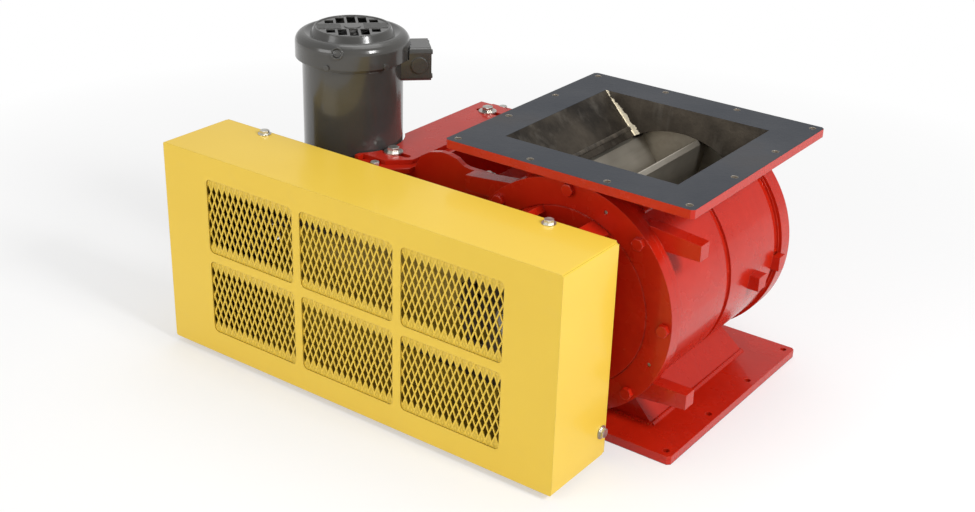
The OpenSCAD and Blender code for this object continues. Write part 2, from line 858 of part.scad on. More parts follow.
module guard_outline(inset) {
    translate([guard_left + inset, guard_z0 + inset])
        round_rect(guard_l - 2 * inset, guard_h - 2 * inset, max(guard_r - inset, 0.8));
}

// Low left corners of the panes, in the XZ plane
module pane_places() {
    for (i = [0:pane_n - 1], j = [0:pane_rows - 1])
        translate([window_x0 + i * (pane_w + mullion_w), window_z0 + j * (pane_h + mullion_w)])
            children();
}

guard_bolt_y = guard_back - guard_bolt_inset;
guard_bolt_x = [guard_left + 105, guard_right - 117];
guard_bolt_z = guard_z0 + 48;

// Frames for the bolts in the guard's walls: +Z points out of the wall
module guard_bolt_places() {
    for (x = guard_bolt_x) {
        translate([x, guard_bolt_y, guard_z1]) children();
        translate([x, guard_bolt_y, guard_z0]) rotate([180, 0, 0]) children();
    }
    translate([guard_right, guard_bolt_y, guard_bolt_z]) rotate([0, 90, 0]) children();
    translate([guard_left, guard_bolt_y, guard_bolt_z]) rotate([0, -90, 0]) children();
}

module guard_cover() {
    color(yellow) difference() {
        xz_plate(guard_front, guard_back) guard_outline(0);
        xz_plate(guard_front + guard_t, guard_back + 1) guard_outline(guard_t);
        xz_plate(guard_front - 1, guard_front + guard_t + 1) pane_places() round_rect(pane_w, pane_h, window_r);
        guard_bolt_places() translate([0, 0, -guard_t - 1])
            cylinder(d = guard_bolt_d + 2 * bolt_gap, h = guard_t + 2);
        for (x = [guard_left, guard_right], z = [guard_z0, guard_z1])
            translate([x, guard_back, z]) cube([9, 9, 9], center = true);
    }
}

module guard_back_plate() {
    inset = guard_t + cover_play;
    color(yellow) difference() {
        union() {
            xz_plate(guard_back - back_t, guard_back) guard_outline(inset);
            difference() {
                xz_plate(guard_back - lip_w, guard_back) guard_outline(inset);
                xz_plate(guard_back - lip_w - 1, guard_back + 1) guard_outline(inset + back_t);
            }
            guard_bolt_places() translate([0, 0, -inset - back_t - 8])
                cylinder(d = guard_bolt_af / cos(30), h = 8 + eps, $fn = 6);
        }
        guard_bolt_places() translate([0, 0, -inset - back_t - 9])
            cylinder(d = guard_bolt_d + 2 * bolt_gap, h = back_t + 12);
        y_cyl(bearing_inner_d / 2 + 16, guard_back - 10, guard_back + 1, z = axis_z);
        xz_plate(guard_back - 10, guard_back + 1) translate([drive_x, drive_z]) {
            for (x = [-slot_len / 2, slot_len / 2]) translate([x, 0]) circle(r = output_r + 12);
            translate([-slot_len / 2, -output_r - 12]) square([slot_len, output_d + 24]);
        }
        guard_spacer_places() translate([0, 0, -1]) cylinder(d = guard_bolt_d + 1, h = 40);
        arm_bolt_place() translate([0, 0, -20]) cylinder(d = guard_bolt_d + 1, h = 40);
    }
}

// Expanded metal: a panel with staggered diamond openings
module mesh_panel() {
    l = pane_w + 2 * mesh_border;
    h = pane_h + 2 * mesh_border;
    cell = mesh_x * mesh_z / norm([mesh_x, mesh_z]);
    open = 1 - strand_w / cell;
    a = mesh_x / 2 * open;
    b = mesh_z / 2 * open;
    nx = floor((l - 6) / mesh_x) - 1;
    nz = floor((h - 6) / mesh_z) - 1;
    x0 = (l - nx * mesh_x) / 2;
    z0 = (h - nz * mesh_z) / 2;
    whole = [for (i = [0:nx], j = [0:nz]) [x0 + i * mesh_x, z0 + j * mesh_z]];
    between = [for (i = [0:nx - 1], j = [0:nz - 1])
        [x0 + (i + 0.5) * mesh_x, z0 + (j + 0.5) * mesh_z]];
    centres = concat(whole, between);
    corners = [[a, 0], [0, b], [-a, 0], [0, -b]];
    points = concat([[0, 0], [l, 0], [l, h], [0, h]], [for (c = centres, d = corners) c + d]);
    paths = concat([[0, 1, 2, 3]],
        [for (k = [0:len(centres) - 1]) [for (m = [0:3]) 4 + 4 * k + m]]);
    translate([-mesh_border, -mesh_border]) polygon(points, paths);
}

module guard_mesh() {
    y0 = guard_front + guard_t;
    color(yellow) rotate([90, 0, 0]) translate([0, 0, -y0 - mesh_t]) pane_places()
        linear_extrude(mesh_t) mesh_panel();
}

module guard_bolts() {
    color(zinc) guard_bolt_places()
        hex_bolt(guard_bolt_d, guard_bolt_af, 6, 16, 1.5);
}

module guard_spacer_places() {
    for (sx = [-1, 1], sz = [-1, 1])
        translate([sx * (bearing_plate_w / 2 - 18), -seat_y, axis_z + sz * guard_bolt_off])
            rotate([90, 0, 0]) children();
}

module guard_spacers() {
    color(zinc) guard_spacer_places() difference() {
        cylinder(d = 20, h = -guard_back - seat_y);
        translate([0, 0, -1]) cylinder(d = guard_bolt_d + 2 * bolt_gap, h = 60);
    }
}

module guard_spacer_bolts() {
    color(zinc) guard_spacer_places() translate([0, 0, -guard_back - seat_y + back_t])
        hex_bolt(guard_bolt_d, guard_bolt_af, 6, -guard_back - seat_y + back_t + bearing_plate_t, 1.5);
    color(zinc) arm_bolt_place() hex_bolt(guard_bolt_d, guard_bolt_af, 6, back_t + 12, 1.5);
}

// ---- Drive bracket ----

cheek_y = lug_back - lug_size;
bracket_grip = 18;
base_right = base_left + base_w;
shelf_right = base_right + 10;
shelf_z = base_z - base_t;
web_h = 80;

// Frames on the lugs' rear sides: +Z points back, for bolts from behind
module bracket_bolt_places() {
    for (up = [-1, 1])
        translate([-lug_reach + 24, -cheek_y + cheek_t, axis_z + up * lug_offset])
            rotate([-90, 0, 0]) children();
}

module cheek() {
    h = lug_size / 2;
    clear = end_plate_r + 1.5;
    color(red) xz_plate(-cheek_y, -cheek_y + cheek_t) difference() {
        polygon([
            [-lug_reach + 60, axis_z + lug_offset + h],
            [-lug_reach - 12, axis_z + lug_offset + h],
            [-lug_reach - 24, axis_z + lug_offset + h + 2],
            [-lug_reach - 38, cheek_top - 4], [-lug_reach - 54, cheek_top],
            [-lug_reach - 72, cheek_top], [-lug_reach - 96, cheek_top - 6],
            [-lug_reach - 116, cheek_top - 18], [shelf_right + 2, base_z - 6],
            [shelf_right + 2, shelf_z - base_t], [base_left + 6, shelf_z - base_t],
            [base_left + 6, shelf_z - 60],
            [-lug_reach - 30, axis_z - lug_offset - h],
            [-lug_reach + 60, axis_z - lug_offset - h]]);
        translate([0, axis_z]) circle(r = clear, $fn = 128);
    }
}

module plate_outline(left, right, half, chamfer) {
    polygon([[left, -half], [right - chamfer, -half], [right, -half + chamfer],
             [right, half - chamfer], [right - chamfer, half], [left, half]]);
}

// Slots along X for the chain adjustment
module slots() {
    r = bolt_d / 2 + 0.75;
    x = (base_left + base_right) / 2;
    for (y = [-slot_y, slot_y]) translate([x, y, base_z - base_t - 1]) {
        for (s = [-1, 1]) translate([s * (slot_len / 2 - r), 0, 0])
            cylinder(r = r, h = base_t + 2);
        translate([-slot_len / 2 + r, -r, 0]) cube([slot_len - 2 * r, 2 * r, base_t + 2]);
    }
}

// Bolts that clamp the upper plate on the lower one
module base_bolt_places() {
    for (y = [-slot_y, slot_y]) translate([(base_left + base_right) / 2 - 6, y, base_z])
        children();
}

// Bolts near the ends of the lower plate
module side_bolt_places() {
    for (y = [-1, 1]) translate([(base_left + base_right) / 2 - 6, y * (shelf_half - 11), shelf_z])
        children();
}

// Room for the motor's foot between the plates
module motor_clearance() {
    translate([motor_x, reducer_y, motor_z - adapter_t - 12]) cylinder(r = motor_r + 4, h = base_z);
}

// Frame on the guard arm's end: +Z towards -Y
module arm_bolt_place() {
    translate([base_left + 38, guard_back - back_t, shelf_z - 53]) rotate([90, 0, 0]) children();
}

module drive_bracket() {
    arm_w = 8;
    color(red) difference() {
        union() {
            both_ends() cheek();
            translate([0, 0, shelf_z - base_t]) linear_extrude(base_t)
                plate_outline(base_left + 4, shelf_right, shelf_half, base_chamfer);
            translate([base_left + 20, guard_back, shelf_z - 70])
                cube([arm_w, -guard_back - cheek_y + eps, 62]);
            translate([base_left + 20, guard_back, shelf_z - 70]) cube([34, arm_w, 34]);
            translate([shelf_right, -cheek_y, shelf_z - base_t - web_h])
                cube([base_t, 2 * cheek_y, web_h + base_t]);
        }
        motor_clearance();
        side_bolt_places() translate([0, 0, -base_t - 1])
            cylinder(d = 10 + 2 * bolt_gap, h = base_t + 2);
        base_bolt_places() translate([0, 0, -2 * base_t - 1])
            cylinder(d = bolt_d + 2 * bolt_gap, h = base_t + 2);
        both_ends() bracket_bolt_places() translate([0, 0, -cheek_t - 1])
            cylinder(d = bolt_d + 2 * bolt_gap, h = cheek_t + 2);
        arm_bolt_place() translate([0, 0, -20]) cylinder(d = guard_bolt_d + 2 * bolt_gap, h = 30);
    }
}

module bracket_bolts() {
    color(zinc) both_ends() bracket_bolt_places()
        hex_bolt(bolt_d, bolt_af, bolt_head, cheek_t + bracket_grip, 2);
}

// Adjustable plate: slotted top, turned down at its left edge to carry the reducer
module motor_base() {
    leg_y0 = reducer_y - foot_h / 2;
    leg_y1 = reducer_y + foot_h / 2;
    color(red) difference() {
        union() {
            translate([0, 0, base_z - base_t]) linear_extrude(base_t)
                plate_outline(base_left - base_t, base_right, base_half, base_chamfer);
            translate([base_left - base_t, leg_y0, drive_z - foot_h / 2 - 6])
                cube([base_t, leg_y1 - leg_y0, base_z - drive_z + foot_h / 2 + 6 - eps]);
        }
        slots();
        motor_clearance();
        reducer_bolt_places() translate([0, 0, -base_t - 1])
            cylinder(d = bolt_d + 1, h = base_t + 2);
    }
}

module motor_base_bolts() {
    color(zinc) base_bolt_places() {
        hex_bolt(bolt_d, bolt_af, bolt_head, 2 * base_t, 2.5);
        cylinder(d = 34, h = 2.5);
    }
    color(zinc) side_bolt_places() hex_bolt(10, 15, 6, base_t + 4);
}

// Frames on the turned-down leg: +Z towards +X
module reducer_bolt_places() {
    for (sy = [-1, 1], sz = [-1, 1])
        translate([base_left, reducer_y + sy * foot_bolt_y, drive_z + sz * foot_bolt_z])
            rotate([0, 90, 0]) children();
}

module reducer_bolts() {
    color(zinc) reducer_bolt_places()
        hex_bolt(bolt_d, bolt_af, bolt_head, base_t + foot_t - 1, 2);
}

// ---- Reducer ----

cavity_r = wheel_r + wheel_mod + 4;
worm_cavity_r = worm_r + wheel_mod + 4;

module reducer_housing() {
    foot_x = base_left - base_t - foot_t;
    color(motor_grey) difference() {
        union() {
            y_cyl(drum_r, reducer_front, reducer_rear, x = drive_x, z = drive_z);
            y_cyl(output_r + 16, reducer_front - 10, reducer_front + 1, x = drive_x, z = drive_z);
            translate([motor_x, reducer_y, drive_z - drum_r - 4])
                cylinder(r = worm_barrel_r, h = adapter_h + drum_r + 4 - adapter_t / 2);
            translate([motor_x, reducer_y, motor_z - adapter_t])
                cylinder(r = motor_r - 5, h = adapter_t);
            translate([motor_x, reducer_y, motor_z - adapter_t - 22])
                cylinder(r1 = worm_barrel_r, r2 = motor_r - 30, h = 22 + eps);
            translate([foot_x, reducer_y - 62, drive_z - foot_h / 2]) cube([foot_t, 124, foot_h]);
            translate([motor_x, reducer_y - 24, drive_z - 48]) cube([foot_x - motor_x + 1, 48, 96]);
            for (z = [-50, 40]) translate([drive_x, reducer_y - 30, drive_z + z])
                cube([motor_x - drive_x, 60, 10]);
        }
        y_cyl(cavity_r, reducer_y - wheel_w / 2 - 3, reducer_rear + 1, x = drive_x, z = drive_z);
        y_cyl(output_r + run_gap, reducer_front - 20, reducer_y, x = drive_x, z = drive_z);
        y_cyl(output_r + 8, reducer_front - 11, reducer_front - 3, x = drive_x, z = drive_z);
        translate([motor_x, reducer_y, drive_z - drum_r - 5])
            cylinder(r = worm_cavity_r, h = drum_r + 60);
        translate([motor_x, reducer_y, drive_z + 50])
            cylinder(r = quill_r + run_gap, h = adapter_h);
        reducer_bolt_places() translate([0, 0, -base_t - foot_t - 1])
            cylinder(d = bolt_d + 2 * bolt_gap, h = foot_t + 2);
        motor_bolt_places() translate([0, 0, -1]) cylinder(d = 10 + 2 * bolt_gap, h = adapter_t + 20);
        cover_screw_places() translate([0, 0, -12]) cylinder(d = 6 + 2 * bolt_gap, h = 14);
        plug_places() translate([0, 0, -8]) cylinder(d = 10 + 2 * bolt_gap, h = 10);
    }
}

module cover_screw_places() {
    for (a = [0:60:300])
        translate([drive_x + (drum_r - 9) * cos(a + 30), reducer_rear, drive_z + (drum_r - 9) * sin(a + 30)])
            rotate([-90, 0, 0]) children();
}

module reducer_side_cover() {
    color(motor_grey) difference() {
        union() {
            y_cyl(drum_r, reducer_rear, reducer_rear + 7, x = drive_x, z = drive_z);
            y_cyl(output_r + 14, reducer_rear + 6, reducer_rear + 14, x = drive_x, z = drive_z);
            y_cyl(cavity_r - 0.3, reducer_rear - 10, reducer_rear + 1, x = drive_x, z = drive_z);
        }
        y_cyl(output_r + run_gap, reducer_rear - 11, reducer_rear + 8, x = drive_x, z = drive_z);
        cover_screw_places() translate([0, 0, -1]) cylinder(d = 6 + 2 * bolt_gap, h = 10);
    }
}

module reducer_cover_screws() {
    color(zinc) cover_screw_places() translate([0, 0, 7]) hex_bolt(6, 10, 4, 17);
}

module reducer_end_cap() {
    color(motor_grey) translate([motor_x, reducer_y, drive_z - drum_r - 4]) {
        translate([0, 0, -8]) cylinder(r = worm_barrel_r - 3, h = 8);
        difference() {
            translate([0, 0, -1]) cylinder(r = worm_cavity_r - 0.3, h = 9);
            cylinder(r = quill_r - 2 + run_gap, h = 10);
        }
    }
}

// Frames for the oil plugs on the drum: +Z points away from the drum's axis
module plug_places() {
    for (a = [100, 190, 262]) translate([drive_x, reducer_y, drive_z]) rotate([0, 90 - a, 0])
        translate([0, 30, drum_r]) children();
}

module reducer_plugs() {
    color(zinc) plug_places() {
        translate([0, 0, -6]) cylinder(d = 10, h = 7);
        cylinder(d = 13 / cos(30), h = 6, $fn = 6);
    }
}

module output_seal() {
    color(dark_steel) difference() {
        y_cyl(output_r + 8 - 0.2, reducer_front - 10, reducer_front - 3, x = drive_x, z = drive_z);
        y_cyl(output_r + run_gap, reducer_front - 11, reducer_front - 2, x = drive_x, z = drive_z);
    }
}

module output_shaft() {
    color(steel) y_cyl(output_r, shaft_front, reducer_rear + 7, x = drive_x, z = drive_z);
}

module worm_wheel() {
    root = wheel_r - wheel_mod;
    tip = wheel_r + wheel_mod * 0.8;
    half = 360 / wheel_n / 4;
    color(bronze) translate([drive_x, reducer_y, drive_z]) difference() {
        xz_plate(-wheel_w / 2, wheel_w / 2) {
            circle(r = root);
            for (i = [0:wheel_n - 1]) rotate(i * 360 / wheel_n)
                polygon([[root - 1, -root * sin(half)], [tip, -tip * sin(half) * 0.45],
                         [tip, tip * sin(half) * 0.45], [root - 1, root * sin(half)]]);
        }
        y_cyl(output_r + run_gap, -wheel_w, wheel_w);
        both_ends() difference() {
            y_cyl(root - 8, -wheel_w, -4);
            y_cyl(output_r + 8, -wheel_w - 1, -3);
        }
    }
}

quill_r = 12.5;

// Corner k of the worm thread's section, at angle a round the worm
function thread_corner(a, k, pitch, base, tip) = let (
    r = k < 2 ? base : tip,
    z = [-0.23, 0.23, 0.12, -0.12][k])
    [r * cos(a), r * sin(a), pitch * (a / 360 + z)];

// Right-hand thread with a trapezoid section
module worm_thread(pitch, base, tip, turns) {
    step = 15;
    n = turns * 360 / step;
    points = [for (i = [0:n], k = [0:3])
        thread_corner((i - n / 2) * step, k, pitch, base, tip)];
    sides = [for (i = [0:n - 1], k = [0:3])
        [4 * i + k, 4 * i + 4 + k, 4 * i + 4 + (k + 1) % 4, 4 * i + (k + 1) % 4]];
    ends = [[0, 1, 2, 3], [4 * n + 3, 4 * n + 2, 4 * n + 1, 4 * n]];
    polyhedron(points, concat(ends, sides));
}

// Worm on a hollow input quill, its thread in mesh with the wheel
module worm() {
    pitch = 2 * PI * wheel_r / wheel_n;
    root = worm_r - wheel_mod * 1.1;
    tip = worm_r + wheel_mod * 0.7;
    color(steel) translate([motor_x, reducer_y, drive_z]) difference() {
        union() {
            translate([0, 0, -58]) cylinder(r = root, h = 106);
            worm_thread(pitch, root - 1.2, tip, 5);
            translate([0, 0, 32]) cylinder(r = quill_r, h = adapter_h - 34);
        }
        translate([0, 0, 42]) cylinder(d = motor_shaft_d + 2 * run_gap, h = adapter_h);
    }
}

module drive_sprocket() {
    color(dark_steel) difference() {
        union() {
            translate([drive_x, 0, drive_z]) xz_plate(chain_y - tooth_t / 2, chain_y + tooth_t / 2)
                tooth_ring(drive_n, drive_r, drive_first);
            y_cyl(34, chain_y, chain_y + 26, x = drive_x, z = drive_z);
        }
        y_cyl(output_r + run_gap, chain_y - 20, chain_y + 30, x = drive_x, z = drive_z);
    }
}

// ---- Motor ----

module at_motor(z) {
    translate([motor_x, reducer_y, z]) rotate([0, 0, motor_turn]) children();
}

module motor_bolt_places() {
    at_motor(motor_z - adapter_t) for (a = [45:90:315]) rotate([0, 0, a])
        translate([motor_r - 18, 0, 0]) children();
}

module motor_bolts() {
    color(zinc) motor_bolt_places() mirror([0, 0, 1]) hex_bolt(10, 16, 6.5, adapter_t + 12);
}

module motor_face_bell() {
    color(motor_grey) difference() {
        union() {
            at_motor(motor_z) cylinder(r = motor_r - 5, h = 10);
            at_motor(motor_z + 6) cylinder(r1 = motor_r - 5, r2 = motor_r, h = 6);
            at_motor(motor_z + 12 - eps) cylinder(r = motor_r, h = bell_t - 12);
            at_motor(frame_z - 1) cylinder(r = motor_r - motor_wall - 0.1, h = 7);
        }
        at_motor(motor_z - 1) cylinder(d = 30 + 2 * run_gap, h = bell_t + 12);
        at_motor(motor_z + 12) cylinder(r = motor_r - motor_wall - 6, h = bell_t + 12);
        motor_bolt_places() translate([0, 0, adapter_t - 1]) cylinder(d = 10 + 2 * bolt_gap, h = 14);
    }
}

module motor_frame() {
    color(motor_grey) difference() {
        at_motor(frame_z) cylinder(r = motor_r, h = frame_h);
        at_motor(frame_z - 1) cylinder(r = motor_r - motor_wall, h = frame_h + 2);
        conduit_screw_hole();
    }
}

// Wiring hole under the conduit box
module conduit_screw_hole() {
    at_motor(conduit_z + 16) rotate([0, 90, 0]) cylinder(d = 20, h = cowl_r + 8);
}

module motor_fan_bell() {
    color(motor_grey) difference() {
        union() {
            at_motor(fan_bell_z) cylinder(r = motor_r, h = 16);
            at_motor(fan_bell_z - 6) cylinder(r = motor_r - motor_wall - 0.1, h = 7);
            at_motor(fan_bell_z + 16 - eps) cylinder(r1 = 40, r2 = 32, h = 8);
        }
        at_motor(fan_bell_z - 7) cylinder(d = 24 + 2 * run_gap, h = 40);
        at_motor(fan_bell_z - 7) cylinder(r = motor_r - motor_wall - 6, h = 12);
        cowl_screw_places() translate([0, 0, -20]) cylinder(d = 5 + 2 * bolt_gap, h = 20 + through);
    }
}

module motor_stator() {
    color(dark_steel) difference() {
        at_motor(frame_z + 22) cylinder(r = motor_r - motor_wall - run_gap, h = frame_h - 46);
        at_motor(frame_z + 21) cylinder(r = 52, h = frame_h);
    }
}

module motor_shaft() {
    color(steel) {
        at_motor(drive_z + 46) cylinder(d = motor_shaft_d, h = adapter_h - 45);
        at_motor(motor_z) cylinder(d = 30, h = bell_t + frame_h / 2);
        at_motor(frame_z + frame_h / 2 - 1) cylinder(d = 24, h = frame_h / 2 + 51);
    }
}

module motor_rotor_core() {
    color(dark_steel) difference() {
        at_motor(frame_z + 20) cylinder(r = 51.4, h = frame_h - 42);
        at_motor(frame_z + 19) cylinder(d = 30 + 2 * run_gap, h = frame_h / 2 - 18);
        at_motor(frame_z + frame_h / 2) cylinder(d = 24 + 2 * run_gap, h = frame_h);
    }
}

module cooling_fan() {
    color(dark_steel) difference() {
        union() {
            at_motor(fan_bell_z + 27) cylinder(r = 20, h = 20);
            at_motor(fan_bell_z + 27) cylinder(r = 74, h = 2.5);
            at_motor(fan_bell_z + 28) for (i = [0:7]) rotate([0, 0, i * 45])
                translate([17, -1.25, 0]) cube([55, 2.5, 13]);
        }
        at_motor(fan_bell_z + 26) cylinder(d = 24 + 2 * run_gap, h = 30);
    }
}

// Half section of the fan cover: skirt, round shoulder, shallow ring and raised disc
function cowl_profile(grow) = let (
    r = cowl_r - grow,
    shoulder = 17 - grow,
    top = cowl_h - 8 - grow)
    concat(
        [[0, grow > 0 ? -1 : 0], [r, grow > 0 ? -1 : 0]],
        [for (a = [0:15:90]) [r - shoulder + shoulder * cos(a), top - shoulder + shoulder * sin(a)]],
        [[grille_r + 6 - grow, top - 3], [grille_r - grow, cowl_h - grow], [0, cowl_h - grow]]);

module fan_cover() {
    bar = 4.5;
    pitch = 1.45 * grille_r / slot_n;
    deep = cowl_t + 6;
    color(motor_grey) difference() {
        union() {
            difference() {
                at_motor(cowl_z) rotate_extrude() polygon(cowl_profile(0));
                at_motor(cowl_z) rotate_extrude() polygon(cowl_profile(cowl_t));
            }
            at_motor(cowl_top - eps) difference() {
                cylinder(r = grille_r - 1, h = 1.2);
                translate([0, 0, -1]) cylinder(r = grille_r - 4, h = 4);
            }
            at_motor(cowl_top - eps) cylinder(r = 15, h = 1.2);
            grille_ribs();
        }
        at_motor(cowl_top - cowl_t - 3) for (i = [0:slot_n - 1], s = [-1, 1]) {
            x = (i - (slot_n - 1) / 2) * pitch;
            outer = sqrt(pow(grille_r - 7, 2) - pow(abs(x) + (pitch - bar) / 2, 2));
            translate([x - (pitch - bar) / 2, s > 0 ? 19 : -outer, 0])
                cube([pitch - bar, outer - 19, deep]);
        }
        cowl_screw_places() translate([0, 0, -20]) cylinder(d = 5 + 2 * bolt_gap, h = 30);
    }
}

// Fine ribs on the left and right of the grille disc
module grille_ribs() {
    at_motor(cowl_top - eps) for (i = [-3:3], s = [0, 180]) rotate([0, 0, s])
        translate([20, i * 4.6 - 0.9, 0]) cube([grille_r - 26, 1.8, 0.9]);
}

// Frames round the fan cover: +Z points away from the motor's axis
module cowl_screw_places() {
    at_motor(fan_bell_z + 11) for (a = [60:60:300]) if (a != 180) rotate([0, 0, a])
        rotate([0, 90, 0]) translate([0, 0, cowl_r]) children();
}

module fan_cover_screws() {
    color(zinc) cowl_screw_places() {
        translate([0, 0, -18]) cylinder(d = 5, h = 18 + eps);
        cylinder(d = 10, h = 3);
        translate([0, 0, motor_r - cowl_r])
            cylinder(d = 11, h = cowl_r - cowl_t - motor_r - 0.3);
    }
}

module conduit_box() {
    hub_x = motor_r + conduit_reach / 2 + 4;
    color(motor_grey) difference() {
        union() {
            at_motor(conduit_z) translate([0, -conduit_w / 2, 0])
                rotate([90, 0, 90]) translate([0, 0, motor_r - 20])
                    linear_extrude(conduit_reach + 20) round_rect(conduit_w, conduit_h, 8);
            at_motor(conduit_z + conduit_h / 2) translate([hub_x, -conduit_w / 2 - 3, 0])
                rotate([-90, 0, 0]) cylinder(r = conduit_reach / 3, h = 4);
        }
        at_motor(conduit_z) translate([0, -conduit_w / 2 + 4, 4])
            rotate([90, 0, 90]) translate([0, 0, cowl_r + 5])
                linear_extrude(conduit_reach) round_rect(conduit_w - 8, conduit_h - 8, 5);
        at_motor(conduit_z - 1) cylinder(r = motor_r + 0.1, h = conduit_h + 2);
        at_motor(cowl_z - 2) cylinder(r = cowl_r + 1.5, h = conduit_h);
        conduit_screw_hole();
        conduit_screw_places() translate([0, 0, -12]) cylinder(d = 5 + 2 * bolt_gap, h = 14);
    }
}

module conduit_screw_places() {
    at_motor(conduit_z) for (y = [-1, 1], z = [8, conduit_h - 8])
        translate([motor_r + conduit_reach, y * (conduit_w / 2 - 8), z]) rotate([0, 90, 0])
            children();
}

module conduit_cover() {
    color(motor_grey) difference() {
        at_motor(conduit_z) translate([0, -conduit_w / 2, 0])
            rotate([90, 0, 90]) translate([0, 0, motor_r + conduit_reach])
                linear_extrude(4) round_rect(conduit_w, conduit_h, 8);
        conduit_screw_places() translate([0, 0, -1]) cylinder(d = 5 + 2 * bolt_gap, h = 8);
    }
}

module conduit_screws() {
    color(zinc) conduit_screw_places() {
        translate([0, 0, -10]) cylinder(d = 5, h = 14 + eps);
        translate([0, 0, 4]) cylinder(d = 9, h = 2.5);
    }
}

housing();
front_end_plate();
rear_end_plate();
front_end_bolts();
rear_end_bolts();
front_packing();
rear_packing();
front_gland();
rear_gland();
front_gland_studs();
rear_gland_studs();
front_bearing();
rear_bearing();
bearing_bolts();
rear_bearing_cap();
grease_fittings();
rotor();
rotor_shaft();
bearing_inner_rings();
driven_sprocket();
sprocket_bushing();
sprocket_key();
roller_chain();
guard_cover();
guard_back_plate();
guard_mesh();
guard_bolts();
guard_spacers();
guard_spacer_bolts();
drive_bracket();
bracket_bolts();
motor_base();
motor_base_bolts();
reducer_bolts();
reducer_housing();
reducer_side_cover();
reducer_cover_screws();
reducer_end_cap();
reducer_plugs();
output_seal();
output_shaft();
worm_wheel();
drive_sprocket();
worm();
motor_frame();
motor_face_bell();
motor_fan_bell();
motor_bolts();
motor_stator();
motor_shaft();
motor_rotor_core();
cooling_fan();
fan_cover();
fan_cover_screws();
conduit_box();
conduit_cover();
conduit_screws();
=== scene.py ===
import bpy
import math
from mathutils import Matrix, Vector


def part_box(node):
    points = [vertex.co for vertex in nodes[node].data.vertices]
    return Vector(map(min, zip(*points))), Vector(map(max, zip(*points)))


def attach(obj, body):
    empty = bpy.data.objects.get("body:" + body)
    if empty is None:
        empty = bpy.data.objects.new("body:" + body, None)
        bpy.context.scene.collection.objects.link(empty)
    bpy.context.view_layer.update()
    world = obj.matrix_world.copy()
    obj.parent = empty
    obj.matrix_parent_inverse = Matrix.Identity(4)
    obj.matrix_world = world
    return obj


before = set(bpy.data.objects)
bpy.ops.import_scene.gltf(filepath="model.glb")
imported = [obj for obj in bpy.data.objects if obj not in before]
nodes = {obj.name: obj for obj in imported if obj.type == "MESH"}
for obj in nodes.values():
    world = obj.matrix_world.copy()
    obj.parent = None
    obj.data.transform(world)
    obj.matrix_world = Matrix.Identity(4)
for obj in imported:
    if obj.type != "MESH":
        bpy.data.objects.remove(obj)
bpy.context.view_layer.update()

# Camera: above the guard's right-hand end, looking left and down over the inlet,
# so that the guard's front, the front end plate and the open throat all show.
camera_azimuth = math.radians(35.43)
camera_elevation = math.radians(25.27)
camera_roll = math.radians(1.79)
camera_place = (1.0901, -1.9525, 1.2563)
lens_over_frame = 1427.3 / 975
towards_camera = Vector((math.sin(camera_azimuth) * math.cos(camera_elevation),
                         -math.cos(camera_azimuth) * math.cos(camera_elevation),
                         math.sin(camera_elevation)))
level_right = Vector((math.cos(camera_azimuth), math.sin(camera_azimuth), 0))
level_up = towards_camera.cross(level_right)
camera_right = level_right * math.cos(camera_roll) + level_up * math.sin(camera_roll)
camera_up = level_up * math.cos(camera_roll) - level_right * math.sin(camera_roll)
camera_data = bpy.data.cameras.new("view_camera")
camera_data.sensor_width = 36
camera_data.lens = camera_data.sensor_width * lens_over_frame
camera_data.clip_end = 60
view_camera = bpy.data.objects.new("view_camera", camera_data)
bpy.context.scene.collection.objects.link(view_camera)
view_camera.matrix_world = Matrix.Translation(camera_place) @ Matrix(
    (camera_right, camera_up, towards_camera)).transposed().to_4x4()
bpy.context.scene.camera = view_camera
bpy.context.scene.view_settings.view_transform = "Standard"


# Shader benches: a wrapped socket that takes part in plain sums, and one call for
# every other node. The studio floor and every finish below are made with them.
class Wire:
    def __init__(self, bench, socket):
        self.bench = bench
        self.socket = socket

    def math(self, operation, *others):
        return self.bench.add("Math", {"operation": operation},
                              dict(enumerate((self, *others))))

    def __add__(self, other):
        return self.math("ADD", other)

    def __radd__(self, other):
        return self.math("ADD", other)

    def __sub__(self, other):
        return self.math("SUBTRACT", other)

    def __rsub__(self, other):
        return self.bench.add("Math", {"operation": "SUBTRACT"}, {0: other, 1: self})

    def __mul__(self, other):
        return self.math("MULTIPLY", other)

    def __rmul__(self, other):
        return self.math("MULTIPLY", other)

    def __truediv__(self, other):
        return self.math("DIVIDE", other)

    def __rtruediv__(self, other):
        return self.bench.add("Math", {"operation": "DIVIDE"}, {0: other, 1: self})

    def __gt__(self, other):
        return self.math("GREATER_THAN", other)

    def __lt__(self, other):
        return self.math("LESS_THAN", other)

    def __abs__(self):
        return self.math("ABSOLUTE")

    def least(self, other):
        return self.math("MINIMUM", other)

    def most(self, other):
        return self.math("MAXIMUM", other)

    def ramp(self, low, high):
        return self.bench.add("MapRange", {"clamp": True},
                              {"Value": self, "From Min": low, "From Max": high})


